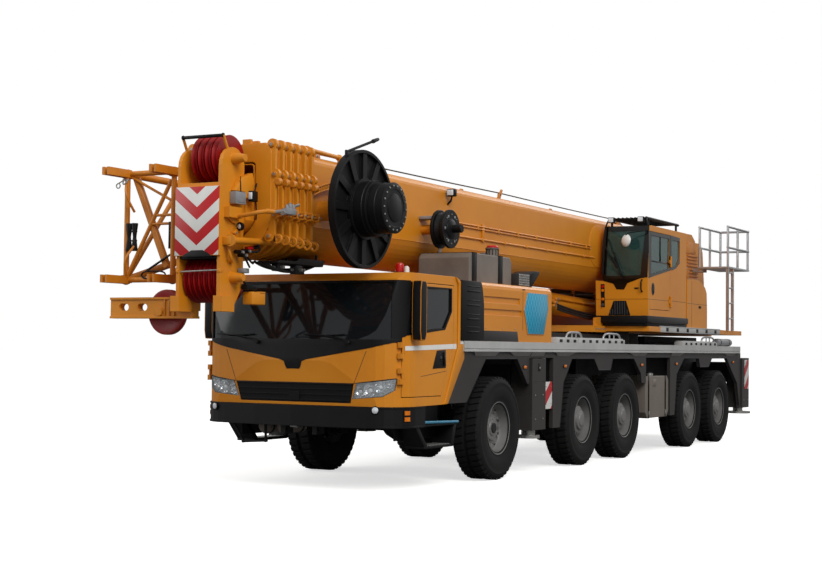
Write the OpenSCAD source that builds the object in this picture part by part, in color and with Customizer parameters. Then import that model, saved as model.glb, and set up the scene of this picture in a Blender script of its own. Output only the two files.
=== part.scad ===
// Five-axle all-terrain telescopic crane in road-travel position.
// Millimetres, front towards -Y, the crane's left side towards +X, ground at z = 0.
// Every module is drawn with y = 0 at the first axle; rig() then centres the length.

/* [Running gear] */
// Tyre outside diameter
tyre_od = 1260; // [1220:10:1300]
// Tyre section width
tyre_width = 385; // [340:5:430]
// Width over the tyres
width_over_tyres = 2750; // [2700:10:2800]
// Axle 1 to axle 2
spacing_12 = 2750; // [2650:10:2850]
// Axle 2 to axle 3
spacing_23 = 1650; // [1600:10:1700]
// Axle 3 to axle 4
spacing_34 = 3080; // [3000:10:3150]
// Axle 4 to axle 5
spacing_45 = 1650; // [1600:10:1700]
// King pin distance inside the wheel's middle plane
king_offset = 222.5; // [200:2.5:245]
// King pin radius
king_r = 30; // [25:1:35]
// Wheel spindle radius
spindle_r = 60; // [50:1:70]

/* [Carrier] */
// Half width of the deck
deck_half = 1375; // [1340:5:1400]
// Deck upper face height
deck_top = 1690; // [1660:5:1720]
// Deck plate and side edge thickness
deck_plate = 50; // [30:5:60]
// Main frame half width
frame_half = 430; // [400:5:450]
// Main frame underside
frame_low = 900; // [895:1:920]
// Main frame top
frame_top = 1480; // [1460:5:1500]
// Driver's cab half width
cab_half = 1330; // [1300:5:1340]
// Radius of the cab's front corners, seen from above
cab_round = 390; // [300:10:420]
// Cab wall thickness
cab_wall = 50; // [40:5:60]
// Glass thickness
glass = 12; // [8:1:16]
// Engine hood height above the deck
hood_height = 715; // [690:5:730]

/* [Outriggers] */
// Outrigger beam width
beam_w = 178; // [160:2:180]
// Outrigger beam height
beam_h = 304; // [280:2:310]
// Outrigger jack radius
jack_r = 90; // [80:1:95]
// Foot plate radius at the front
foot_front_r = 150; // [120:5:150]
// Foot plate radius at the rear
foot_rear_r = 230; // [180:5:240]
// Foot plate underside in travel
foot_z = 450; // [440:5:470]

/* [Superstructure] */
// Slewing centre behind axle 1
slew_y = 6600; // [6550:10:6650]
// Slewing ring radius
ring_r = 700; // [650:10:720]
// Boom foot pin behind axle 1
foot_y = 9600; // [9550:10:9650]
// Boom foot pin height
foot_pin_z = 3000; // [2980:5:3020]
// Boom foot pin radius
foot_pin_r = 90; // [80:1:100]
// Luffing cylinder base pin behind axle 1
luff_y = 7300; // [7250:10:7350]
// Luffing cylinder base pin height
luff_z = 2230; // [2220:5:2240]
// Luffing cylinder rod eye behind axle 1
eye_y = 2700; // [2650:10:2750]
// Luffing cylinder rod eye height
eye_z = 2380; // [2370:5:2390]
// Luffing barrel radius
barrel_r = 170; // [150:5:175]
// Luffing rod radius
rod_r = 125; // [110:1:128]

// Winch drum behind axle 1
winch_y = 10700; // [10690:5:10720]
// Winch drum height
winch_z = 3300; // [3280:5:3320]

/* [Boom] */
// Half width of the base section
boom_half = 480; // [470:5:490]
// Boom top height
boom_top = 3680; // [3660:5:3700]
// Height of the long bend line
boom_bend = 2900; // [2880:5:2920]
// Radius of the rounded underside
boom_round = 504; // [500:1:510]
// Height of that radius's centre
boom_mid = 3054; // [3050:1:3060]
// Boom plate thickness
boom_wall = 12; // [10:1:14]
// Step in half width from one section to the next
boom_step = 30; // [28:1:32]
// Front face of the base section
boom_front = -3100; // [-3120:5:-3080]
// Distance from one collar to the next
collar_pitch = 140; // [130:5:145]
// Collar plate thickness along the boom
collar_len = 60; // [50:5:70]
// Cable reel centre before axle 1
reel_y = -2750; // [-2760:5:-2740]
// Cable reel centre height
reel_z = 3090; // [3080:5:3100]
// Sheave pin place before axle 1
sheave_y = -4060; // [-4065:1:-4055]
// Upper sheave pin height
upper_pin_z = 3525; // [3515:5:3535]
// Lower sheave pin height
lower_pin_z = 2285; // [2275:5:2295]
// Half width over the head's side plates
head_half = 275; // [265:1:285]
// Sheave radius
sheave_r = 245; // [220:1:248]
// Sheave pin radius
sheave_pin_r = 50; // [40:1:60]
// Bore for an extension's pin in the head plates
jib_bore = 80; // [60:1:90]

/* [Fits] */
// Radial clearance at pins and spindles
pin_gap = 0.5; // [0.3:0.1:1]
// Clearance of sliding beams and tubes
slide_gap = 8; // [6:1:10]
// Gap round doors
door_gap = 8; // [6:1:10]
// Radial gap at the sheaves' and reels' bores
hub_gap = 1; // [0.5:0.1:2]
// Gap at wear pads, guides and hinge leaves
seat_gap = 0.3; // [0.2:0.1:0.5]

/* [Hidden] */
front_y = -4370;
rear_y = 11250;
axle1_y = -(front_y + rear_y) / 2;
tyre_r = tyre_od / 2;
wheel_x = (width_over_tyres - tyre_width) / 2;
king_x = wheel_x - king_offset;
axle_ys = [0, spacing_12, spacing_12 + spacing_23,
           spacing_12 + spacing_23 + spacing_34,
           spacing_12 + spacing_23 + spacing_34 + spacing_45];
hood_top = deck_top + hood_height;
edge_low = 1566;
hood_half = deck_half - 13;
luff_len = norm([luff_y - eye_y, eye_z - luff_z]);
luff_tilt = atan2(eye_z - luff_z, luff_y - eye_y);
cab_front = -2522;
cab_side = [[-2500, 950], [-1450, 960], [-1120, 1620], [-1120, 2360], [-1190, 2430],
            [-2280, 2430], [-2380, 2360], [-2540, 1650], [-2560, 1450]];
door_side = [[-2340, 1055], [-1500, 1055], [-1215, 1640], [-1215, 2330], [-2230, 2330], [-2340, 1760]];
door_pane = [[-2290, 1740], [-1440, 1822], [-1275, 2024], [-1275, 2285], [-2210, 2285]];
hinge_x = cab_half - 40;
hinge_y = -2346;
lamp_face = [[-580, 1031], [-213, 1064], [-105, 1135], [-90, 1262], [-520, 1207]];
op_side = [[5470, 2140], [7330, 2140], [7330, 3560], [5590, 3560], [5500, 3500], [5430, 2720]];
op_door = [[5530, 2240], [6510, 2240], [6510, 3470], [5530, 3470]];
op_pane = [[5590, 2790], [6450, 2920], [6450, 3410], [5590, 3410]];
op_quarter = [[6570, 2950], [6850, 2990], [6965, 3110], [6965, 3400], [6570, 3400]];
op_inner = 585;
op_outer = 1330;
op_hinge_y = 6506;
$fn = 48;

// Helpers

module rig() translate([0, axle1_y, 0]) children();

// Extrudes a side view drawn as (y, z) from x0 to x1.
module slab(x0, x1) translate([x0, 0, 0]) rotate([90, 0, 90]) linear_extrude(x1 - x0) children();

// A box from its two opposite corners.
module span(a, b) translate(a) cube(b - a);

// A round bar along X.
module rod_x(x0, x1, y, z, r) translate([x0, y, z]) rotate([0, 90, 0]) cylinder(h = x1 - x0, r = r);

// A round bar between two points.
module bar(a, b, r) {
  v = b - a;
  translate(a) rotate([0, acos(v[2] / norm(v)), atan2(v[1], v[0])]) cylinder(h = norm(v), r = r);
}

// Both sides of the crane.
module both() {
  children();
  mirror([1, 0, 0]) children();
}

// A convex outline moved inwards by d.
function inset(p, d) = [for (i = [0 : len(p) - 1])
  let (a = p[(i + len(p) - 1) % len(p)], b = p[i], c = p[(i + 1) % len(p)],
       u = (b - a) / norm(b - a), v = (c - b) / norm(c - b),
       m = [-u[1], u[0]], n = [-v[1], v[0]])
  b + d * (m + n) / (1 + m * n)];

// Points on an arc round c from angle a to angle b, in n steps.
function arc(c, r, a, b, n) = [for (i = [0 : n]) c + r * [cos(a + (b - a) * i / n), sin(a + (b - a) * i / n)]];

// Running gear

module wheel(n, side) {
  w = tyre_width / 2;
  color("DimGray") rig() translate([side * wheel_x, axle_ys[n - 1], tyre_r]) rotate([0, side * 90, 0])
    rotate_extrude() polygon([[272, 24 - w], [330, 24 - w], [392, -w], [tyre_r - 120, -w], [tyre_r - 25, 27 - w],
      [tyre_r, 52 - w], [tyre_r, w - 52], [tyre_r - 25, w - 27], [tyre_r - 120, w], [392, w], [330, w - 24],
      [292, w - 24], [282, 50], [205, 50], [205, 130], [165, 170], [0, 170], [0, 120],
      [spindle_r + pin_gap, 120], [spindle_r + pin_gap, 20], [272, 20]]);
}

// Brake drum and wheel spindle, from the drum's inner face outwards.
module hub_end() {
  rod_x(wheel_x - 147.5, wheel_x + 7.5, 0, 0, 190);
  rod_x(wheel_x - 2.5, wheel_x + 107.5, 0, 0, spindle_r);
}

module knuckle(n, side) {
  color("SlateGray") rig() translate([0, axle_ys[n - 1], tyre_r]) mirror([side < 0 ? 1 : 0, 0, 0]) {
    translate([king_x, 0, -100]) cylinder(h = 200, r = 55);
    translate([king_x, 0, -150]) cylinder(h = 300, r = king_r);
    span([king_x, -50, -95], [wheel_x - 142.5, 50, 95]);
    hub_end();
  }
}

// The axle tube with its drive housing, turned about X.
module axle_tube(x) rotate([0, 90, 0]) rotate_extrude() polygon([[0, -x], [90, -x], [90, -260], [150, -200],
  [205, -90], [205, 90], [150, 200], [90, 260], [90, x], [0, x]]);

module axle_steered() {
  axle_tube(king_x - 80);
  both() difference() {
    union() {
      span([king_x - 120, -58, -146], [king_x - 78, 58, 146]);
      for (z = [-146, 106]) {
        span([king_x - 90, -58, z], [king_x, 58, z + 40]);
        translate([king_x, 0, z]) cylinder(h = 40, r = 60);
      }
    }
    translate([king_x, 0, -160]) cylinder(h = 320, r = king_r + pin_gap);
  }
}

module axle_fixed() {
  axle_tube(wheel_x - 142.5);
  both() hub_end();
}

module axles() {
  color("DarkSlateGray") rig() for (i = [0 : 4]) translate([0, axle_ys[i], tyre_r]) {
    if (i < 2) axle_steered();
    if (i >= 2) axle_fixed();
    both() translate([520, 0, 100]) cylinder(h = 1250 - tyre_r - 100, r = 52);
    both() span([455, -110, -105], [585, 110, 110]);
  }
}

// Carrier

// The channel row at one outrigger housing: each side's beam runs beside the other's.
module housing(y) {
  difference() {
    span([-1060, y - 230, 1030], [1060, y + 230, 1400]);
    for (s = [-1, 1]) span([-1100, y + s * 104 - beam_w / 2 - slide_gap, 1215 - beam_h / 2 - slide_gap],
      [1100, y + s * 104 + beam_w / 2 + slide_gap, 1215 + beam_h / 2 + slide_gap]);
  }
  for (s = [-1, 1]) span([s * 1010 - 50, y + s * 104 - 60, 1215 - beam_h / 2 - slide_gap - 1],
    [s * 1010 + 50, y + s * 104 + 60, 1215 - beam_h / 2 - seat_gap]);
}

module chassis_frame() {
  color("DimGray") rig() {
    difference() {
      union() {
        span([-frame_half, -1000, frame_low], [frame_half, 11000, frame_top]);
        span([-frame_half, -2350, 760], [frame_half, -600, 940]);
      }
      for (y = [1160, 10750]) span([-frame_half - 1, y - 229, 1031], [frame_half + 1, y + 229, 1399]);
    }
    for (y = [1160, 10750]) housing(y);
    for (y = [-2200, -1500]) both() span([250, y - 60, 930], [400, y + 60, 950]);
    for (y = axle_ys) both() span([frame_half - 10, y - 90, 1250], [600, y + 90, frame_top]);
    translate([0, slew_y, frame_top - 10]) cylinder(h = 280, r = ring_r + 20, $fn = 96);
    translate([0, slew_y, frame_top - 10]) cylinder(h = 325, r = ring_r - 140, $fn = 96);
    both() difference() {
      union() {
        span([180, -2420, 620], [240, -2250, 940]);
        span([260, 10990, 900], [320, 11150, 1100]);
      }
      rod_x(170, 330, -2380, 680, 25);
      rod_x(170, 330, 11090, 1000, 25);
    }
  }
}

module deck() {
  color("Silver") rig() difference() {
    union() {
      span([-deck_half, -1000, deck_top - deck_plate], [deck_half, 10400, deck_top]);
      both() span([deck_half - deck_plate, -1000, edge_low], [deck_half, 10400, deck_top]);
      for (y = [-950, 1500, 3500, 5300, 8200, 10300])
        span([95 - deck_half, y, frame_top], [deck_half - 95, y + 80, deck_top - deck_plate + 1]);
    }
    translate([0, slew_y, 1400]) cylinder(h = 400, r = ring_r + 30, $fn = 96);
    both() span([deck_half - 8, -1010, edge_low + 27], [deck_half + 1, 10410, edge_low + 36]);
  }
}

module side_panels() {
  color("DimGray") rig() both() slab(deck_half - 85, deck_half - 30) difference() {
    polygon([[-1386, 968], [-800, 968], [-800, 560], [10510, 560], [10510, edge_low], [-1053, edge_low]]);
    polygon([[-810, 540], [985, 540], [985, 1020], [540, 1482], [-380, 1482], [-895, 964], [-810, 964]]);
    polygon([[840, 540], [1690, 540], [1690, 1490], [920, 1490], [920, 1160], [840, 1160]]);
    polygon([[1930, 540], [5140, 540], [5140, 1110], [5100, 1250], [4790, 1482], [3900, 1482], [3812, 1312],
      [3344, 1312], [3160, 1482], [2340, 1482], [2185, 1303], [2050, 1167]]);
    polygon([[5130, 540], [6490, 540], [6490, 1490], [5335, 1490], [5335, 1100], [5130, 1100]]);
    polygon([[6712, 540], [10434, 540], [10434, 609], [10278, 1029], [9926, 1262], [9629, 1482], [8749, 1482],
      [8542, 1328], [8063, 1328], [7992, 1482], [7200, 1482], [6979, 1337], [6820, 1223]]);
  }
}

// Plan of the cab, moved inwards by e: a slight crown in front and round corners.
function cab_plan(e) = let (c = cab_half - cab_round)
  concat([[cab_half - e, -1000]], arc([c, cab_front + cab_round], cab_round - e, 0, -90, 6),
    [[500, cab_front - 34 + e], [0, cab_front - 48 + e], [-500, cab_front - 34 + e]],
    arc([-c, cab_front + cab_round], cab_round - e, -90, -180, 6), [[e - cab_half, -1000]]);

// The driver's cab as a filled body; d moves its outlines inwards.
module cab_body(d) {
  intersection() {
    slab(max(d, 0) - cab_half, cab_half - max(d, 0)) polygon(inset(cab_side, d));
    translate([0, 0, 900]) linear_extrude(1600) polygon(cab_plan(max(d, 0)));
  }
}

module windscreen_cut() span([130 - cab_half, -2800, 1670], [cab_half - 130, -2200, 2320]);
module rear_pane_cut() span([-900, -1300, 1750], [900, -1000, 2250]);
module lamp_cut() both() translate([cab_half, -2352, 0]) rotate([90, 0, 0]) linear_extrude(500) polygon(lamp_face);
module grille_cut() translate([0, -2480, 0]) rotate([90, 0, 0]) linear_extrude(300)
  polygon([[-730, 985], [730, 985], [780, 1200], [-780, 1200]]);

// Three hinge barrels on one axis: the middle one is the door's, the outer two the wall's.
// leaf is how deep the wall's leaf goes, out the side of the axis on which the wall lies.
module hinge_wall(x, y, z, out, leaf) for (k = [0, 120]) translate([x, y, z + k]) {
  cylinder(h = 60, r = 14);
  span(out > 0 ? [-leaf, 0, 0] : [-leaf, -50, 0], out > 0 ? [0, 50, 60] : [0, 0, 60]);
}
module hinge_door(x, y, z, out) translate([x, y, z + 60 + seat_gap]) {
  cylinder(h = 60 - 2 * seat_gap, r = 14);
  span(out > 0 ? [-16, -50, 0] : [-16, 0, 0], out > 0 ? [0, 0, 60 - 2 * seat_gap] : [0, 50, 60 - 2 * seat_gap]);
}

module cab_shell() {
  color("Orange") rig() {
    difference() {
      cab_body(0);
      cab_body(cab_wall);
      windscreen_cut();
      rear_pane_cut();
      lamp_cut();
      grille_cut();
      slab(-cab_half - 70, cab_half + 70) polygon(door_side);
    }
    both() for (z = [1200, 1480]) hinge_wall(hinge_x, hinge_y, z, -1, 40);
  }
}

module cab_glass() {
  color("DarkSlateGray") rig() {
    intersection() {
      difference() {
        cab_body(8);
        cab_body(8 + glass);
      }
      windscreen_cut();
    }
    intersection() {
      slab(-900, 900) difference() {
        polygon(inset(cab_side, 15));
        polygon(inset(cab_side, 15 + glass));
      }
      rear_pane_cut();
    }
  }
}

// The part of the cab's front wall that one cutter takes out.
module front_wall() intersection() {
  difference() {
    cab_body(0);
    cab_body(cab_wall);
  }
  children();
}

module headlamps() color("White") rig() front_wall() lamp_cut();

module front_trim() {
  color("Black") rig() {
    difference() {
      front_wall() grille_cut();
      for (z = [1025, 1085, 1145]) span([-720, -2700, z], [720, -2530, z + 34]);
    }
    intersection() {
      translate([0, 0, 720]) linear_extrude(230) difference() {
        polygon(cab_plan(-8));
        polygon(cab_plan(70));
      }
      span([-1400, -2700, 700], [1400, -1900, 960]);
    }
  }
}

// One folding seat with its base on height z.
module seat(x, y, z) {
  span([x - 180, y - 200, z], [x + 180, y + 200, z + 260]);
  span([x - 240, y - 250, z + 250], [x + 240, y + 250, z + 380]);
  slab(x - 230, x + 230) polygon([[y + 160, z + 370], [y + 260, z + 370], [y + 330, z + 980], [y + 240, z + 980]]);
}

module cab_interior() {
  color("DimGray") rig() {
    intersection() {
      cab_body(cab_wall + seat_gap);
      union() {
        span([-1270, -2560, 990], [1270, -1500, 1060]);
        slab(-1150, 1150) polygon([[-2560, 1055], [-2200, 1055], [-2160, 1560], [-2230, 1640], [-2560, 1640]]);
      }
    }
    for (x = [-700, 700]) seat(x, -1720, 1055);
    bar([700, -2190, 1560], [700, -2070, 1680], 30);
    translate([700, -2066, 1684]) rotate([45, 0, 0]) rotate_extrude() polygon([[190, -15], [225, -15], [225, 15], [190, 15]]);
    translate([700, -2066, 1684]) rotate([45, 0, 0]) span([-195, -20, -12], [195, 20, 12]);
  }
}

module cab_door(side) {
  color("Orange") rig() mirror([side < 0 ? 1 : 0, 0, 0]) {
    intersection() {
      difference() {
        cab_body(0);
        cab_body(cab_wall);
      }
      slab(cab_half - 200, cab_half + 10) difference() {
        polygon(inset(door_side, door_gap));
        polygon(door_pane);
      }
    }
    for (z = [1200, 1480]) hinge_door(hinge_x, hinge_y, z, -1);
    for (z = [1700, 2295]) span([cab_half - 40, -2190, z], [cab_half + 40, -2150, z + 25]);
    slab(cab_half + 15, cab_half + 125) polygon([[-2230, 1685], [-2135, 1685], [-2110, 1760], [-2110, 2290], [-2135, 2340],
      [-2230, 2340], [-2250, 2240], [-2250, 1785]]);
  }
}

module cab_door_glass(side) {
  color("DarkSlateGray") rig() mirror([side < 0 ? 1 : 0, 0, 0]) intersection() {
    difference() {
      cab_body(14);
      cab_body(14 + glass);
    }
    slab(cab_half - 200, cab_half + 10) polygon(door_pane);
  }
}

module engine_hood() {
  color("Orange") rig() {
    difference() {
      rotate([90, 0, 0]) translate([0, 0, -1580]) linear_extrude(2150) polygon([[-hood_half, deck_top], [hood_half, deck_top],
        [hood_half, hood_top - 75], [hood_half - 10, hood_top - 38], [hood_half - 36, hood_top - 10], [hood_half - 75, hood_top],
        [75 - hood_half, hood_top], [36 - hood_half, hood_top - 10], [10 - hood_half, hood_top - 38], [-hood_half, hood_top - 75]]);
      span([42 - hood_half, -530, deck_top - 10], [hood_half - 42, 1540, hood_top - 100]);
      span([120 - hood_half, -530, deck_top - 10], [hood_half - 120, 1540, hood_top - 50]);
      both() span([hood_half - 17, -480, 2012], [hood_half + 40, 640, 2084]);
      both() span([hood_half - 17, -480, 2160], [hood_half + 40, 570, 2234]);
    }
    both() slab(hood_half - 12, hood_half + 10) polygon([[766, 2325], [1411, 2325], [1447, 2133], [1310, 1790], [797, 1790],
      [680, 2096]]);
    difference() {
      span([-1330, -1075, deck_top], [1330, -570, 2395]);
      span([-1290, -1030, deck_top - 10], [1290, -530, 2350]);
      both() for (z = [1760 : 90 : 2300]) span([1310, -1020, z], [1400, -620, z + 45]);
    }
  }
}

module engine_block() {
  color("SlateGray") rig() span([-400, -350, deck_top], [400, 1150, 2250]);
}

module tanks() {
  color("Gray") rig() {
    slab(505, 1190) polygon([[-550, hood_top], [670, hood_top], [670, 2700], [610, 2760], [-490, 2760], [-550, 2700]]);
    translate([900, 500, 2750]) cylinder(h = 70, r = 70);
    for (s = [-1, 1]) slab(s > 0 ? frame_half : -1330, s > 0 ? 1330 : -frame_half)
      polygon([[5440, 550], [6350, 550], [6440, 640], [6440, 1130], [6370, 1200], [5420, 1200], [5350, 1130], [5350, 640]]);
  }
}

// Outriggers: s is the side, y the housing centre, lane the beam's own channel.

module outrigger(s, y) {
  lane = y + s * 104;
  color("Orange") rig() mirror([s < 0 ? 1 : 0, 0, 0]) difference() {
    union() {
      span([-1000, lane - beam_w / 2, 1215 - beam_h / 2], [deck_half - 285, lane + beam_w / 2, 1215 + beam_h / 2]);
      span([deck_half - 300, y - 215, 560], [deck_half, y + 215, 1480]);
    }
    translate([deck_half - 150, y, 700]) cylinder(h = 730, r = jack_r + slide_gap - 2);
    translate([deck_half - 150, y, 540]) cylinder(h = 260, r = jack_r + seat_gap);
  }
}

module jack(s, y, foot) {
  color("DimGray") rig() mirror([s < 0 ? 1 : 0, 0, 0]) translate([deck_half - 150, y, 0]) {
    translate([0, 0, foot_z]) cylinder(h = 40, r = foot);
    translate([0, 0, foot_z + 30]) cylinder(h = 850, r = jack_r);
  }
}

// Superstructure

module turntable() {
  color("Orange") rig() {
    difference() {
      translate([0, slew_y, 1756]) cylinder(h = 140, r = ring_r, $fn = 96);
      translate([0, slew_y, 1700]) cylinder(h = 150, r = ring_r - 140 + seat_gap, $fn = 96);
    }
    span([-620, 5000, 1880], [620, 11080, 1980]);
    span([600, 5500, 1900], [1330, 9500, 1980]);
    span([-1250, 5600, 1900], [-600, 9500, 1980]);
    span([-1250, 9480, 1900], [1250, 10900, 1980]);
    span([620, 5600, 1970], [1300, 7200, 2140]);
    slab(620, 1310) polygon([[7455, 1975], [8565, 1975], [8565, 2300], [8540, 2605], [8450, 2695], [8310, 2755], [8120, 2800],
      [7920, 2817], [7455, 2795]]);
    span([-1220, 6200, 1970], [-620, 9200, 2600]);
    both() slab(520, 575) polygon([[5200, 1970], [10300, 1970], [10300, 3300], [10180, 3640], [9980, 3750], [9700, 3750],
      [9400, 3560], [9150, 3200], [7700, 2350], [5200, 2100]]);
    rod_x(-575, 575, foot_y, foot_pin_z, foot_pin_r);
    both() slab(190, 235) polygon([[7130, 1975], [7470, 1975], [7400, 2340], [7200, 2340]]);
    rod_x(-230, 230, luff_y, luff_z, spindle_r);
    both() slab(430, 470) polygon([[10320, 1975], [11070, 1975], [11070, 2900], [10980, 3480], [10860, 3640], [10520, 3640],
      [10360, 3300]]);
    rod_x(-470, 470, winch_y, winch_z, spindle_r);
  }
}

module winch_drum() {
  color("SlateGray") rig() difference() {
    union() {
      rod_x(-410, 410, winch_y, winch_z, 230);
      for (x = [-410, 370]) rod_x(x, x + 40, winch_y, winch_z, 330);
    }
    rod_x(-420, 420, winch_y, winch_z, spindle_r + hub_gap);
  }
}

module op_front_cut() span([op_inner + 60, 5200, 2760], [op_outer - 60, 5640, 3480]);
module op_rear_cut() span([op_inner + 90, 7230, 2800], [op_outer - 80, 7400, 3400]);
module op_roof_cut() span([op_inner + 100, 5760, 3480], [op_outer - 90, 6900, 3700]);
module op_inner_cut() span([op_inner - 90, 5700, 2860], [op_inner + 45, 7050, 3420]);

module op_cab_shell() {
  color("Orange") rig() {
    difference() {
      slab(op_inner, op_outer) polygon(op_side);
      slab(op_inner + 40, op_outer - 40) polygon(inset(op_side, 40));
      op_front_cut();
      op_rear_cut();
      op_roof_cut();
      op_inner_cut();
      slab(op_outer - 45, op_outer + 70) polygon(op_quarter);
      slab(op_outer - 45, op_outer + 70) polygon(op_door);
    }
    for (z = [2300, 2950]) hinge_wall(op_outer + 16, op_hinge_y, z, 1, 16);
    for (x = [op_inner + 70, op_outer - 70], y = [5650, 7000]) translate([x, y, 3550]) cylinder(h = 140, r = 16);
    for (x = [op_inner + 70, op_outer - 70]) bar([x, 5560, 3680], [x, 7090, 3680], 20);
    for (y = [5650 : 225 : 7000]) rod_x(op_inner + 70, op_outer - 70, y, 3680, 12);
  }
}

module op_cab_glass() {
  color("DarkCyan") rig() {
    for (k = [0, 1, 2]) intersection() {
      slab(op_inner + 40, op_outer - 40) difference() {
        polygon(inset(op_side, 10));
        polygon(inset(op_side, 10 + glass));
      }
      if (k == 0) op_front_cut();
      if (k == 1) op_rear_cut();
      if (k == 2) op_roof_cut();
    }
    span([op_inner + 12, 5700, 2860], [op_inner + 12 + glass, 7050, 3420]);
    slab(op_outer - 22, op_outer - 22 + glass) polygon(op_quarter);
  }
}

module op_cab_door() {
  color("Orange") rig() {
    slab(op_outer - 40, op_outer) difference() {
      polygon(inset(op_door, door_gap));
      polygon(op_pane);
    }
    for (z = [2300, 2950]) hinge_door(op_outer + 16, op_hinge_y, z, 1);
  }
}

module op_door_glass() {
  color("DarkCyan") rig() slab(op_outer - 22, op_outer - 22 + glass) polygon(op_pane);
}

module op_cab_interior() {
  color("DimGray") rig() {
    span([650, 5600, 2180], [1280, 7190, 2200]);
    seat(965, 6650, 2195);
    for (x = [690, 1180]) span([x, 6250, 2195], [x + 60, 6800, 2780]);
    slab(680, 760) polygon([[5640, 2195], [5800, 2195], [5860, 2900], [5780, 2900]]);
    span([670, 5640, 2880], [900, 5880, 2920]);
  }
}

module railing() {
  x0 = 720;
  x1 = 1300;
  y0 = 9900;
  y1 = rear_y;
  color("LightGray") rig() {
    span([x0, y0, 3120], [x1, y1, 3150]);
    for (x = [x0 + 25, x1 - 25], y = [y0 + 25, 10550, y1 - 25]) translate([x, y, 3140]) cylinder(h = 740, r = 22);
    for (z = [3500, 3880]) {
      for (x = [x0 + 25, x1 - 25]) bar([x, y0, z], [x, y1, z], 22);
      bar([x0, y1 - 25, z], [x1, y1 - 25, z], 22);
    }
    for (y = [9940, 10250]) span([x1 - 60, y - 20, 1980], [x1 - 10, y + 20, 3130]);
    for (z = [2200 : 280 : 3100]) bar([x1 - 35, 9940, z], [x1 - 35, 10250, z], 14);
    for (y = [9960, 10200]) span([575, y, 3060], [x0 + 60, y + 50, 3130]);
  }
}

// The luffing cylinder's own frame: its base pin at the origin, its rod along +Z.
module luff_axis() translate([0, luff_y, luff_z]) rotate([90 - luff_tilt, 0, 0]) children();

module luff_barrel() {
  color("Orange") rig() luff_axis() difference() {
    union() {
      rod_x(-165, 165, 0, 0, 140);
      cylinder(h = 400, r = 125);
      translate([0, 0, 250]) cylinder(h = 3650, r = barrel_r);
    }
    rod_x(-170, 170, 0, 0, spindle_r + pin_gap);
    translate([0, 0, 500]) cylinder(h = 3500, r = rod_r + slide_gap - 1);
  }
}

module luff_rod() {
  color("Silver") rig() luff_axis() difference() {
    union() {
      translate([0, 0, 700]) cylinder(h = luff_len - 940, r = rod_r);
      translate([0, 0, 800]) cylinder(h = luff_len - 860, r = 82);
      rod_x(-88, 88, 0, luff_len, 110);
    }
    rod_x(-100, 100, 0, luff_len, spindle_r + pin_gap);
  }
}

// Boom

// The section outline in (x, z), moved inwards by d.
module boom_shape(d) {
  w = boom_half - d;
  c = 100 - d / 3;
  top = boom_top - d - c;
  a = atan2(boom_mid - boom_bend, w);
  polygon(concat(arc([0, boom_mid], norm([w, boom_mid - boom_bend]), a - 180, -a, 20),
    arc([w - c, top], c, 0, 90, 5), arc([c - w, top], c, 90, 180, 5)));
}

module boom_run(d, y0, y1) translate([0, y1, 0]) rotate([90, 0, 0]) linear_extrude(y1 - y0) boom_shape(d);

// The collar at a section's front end: a frame with side fins and rounded lugs.
module collar(y) {
  boom_run(-28, y, y + collar_len);
  both() {
    span([boom_half, y + 10, 2740], [boom_half + 75, y + 50, 3660]);
    for (p = [[30, 3690, 62], [70, 3380, 58], [70, 2960, 52], [10, 2740, 60]])
      translate([boom_half + p[0], y + 10, p[1]]) rotate([-90, 0, 0]) cylinder(h = 40, r = p[2]);
    span([140, y + 10, 3680], [240, y + 50, 3760]);
  }
}

// Wear pads inside a section's mouth, for the next section's sides.
module wear_pads(d, y) both() span([boom_half - d - boom_step + seat_gap, y + 10, 3000],
  [boom_half - d - boom_wall + 1, y + 130, 3400]);

module boom_section(i) {
  d = boom_step * (i - 1);
  y = boom_front - collar_pitch * (i - 1);
  color("Orange") rig() {
    difference() {
      union() {
        boom_run(d, y, 8700);
        collar(y);
      }
      boom_run(d + boom_wall, y - 1, 8701);
    }
    wear_pads(d, y);
  }
}

module boom_base() {
  color("Orange") rig() {
    difference() {
      union() {
        boom_run(0, boom_front, 9250);
        collar(boom_front);
        both() slab(100, 150) polygon([[2480, 2600], [2920, 2600], [2820, 2300], [2580, 2300]]);
      }
      boom_run(boom_wall, boom_front - 1, 9251);
    }
    wear_pads(0, boom_front);
    rod_x(-150, 150, eye_y, eye_z, spindle_r);
    both() difference() {
      union() {
        slab(440, 480) {
          polygon([[8750, 2760], [foot_y, 2690], [foot_y, 3310], [8750, 3600]]);
          translate([foot_y, foot_pin_z]) circle(r = 330);
        }
        rod_x(470, 512, foot_y, foot_pin_z, 180);
      }
      rod_x(400, 520, foot_y, foot_pin_z, foot_pin_r + pin_gap);
    }
    rod_x(475, 932, reel_y, reel_z, 110);
    rod_x(920, 1080, reel_y, reel_z, spindle_r);
    rod_x(475, 720, -400, 3060, 60);
    for (x = [700, 840]) rod_x(x, x + 30, -400, 3060, 232);
    rod_x(710, 860, -400, 3060, 130);
  }
}

module boom_head() {
  d = boom_step * 6;
  y = boom_front - collar_pitch * 6;
  gap = sheave_r + 15;
  color("Orange") rig() {
    difference() {
      boom_run(d, y, 8700);
      boom_run(d + boom_wall, y + 20, 8701);
      span([-400, y - 30, upper_pin_z - gap], [400, sheave_y + gap, 3800]);
    }
  }
}

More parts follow.
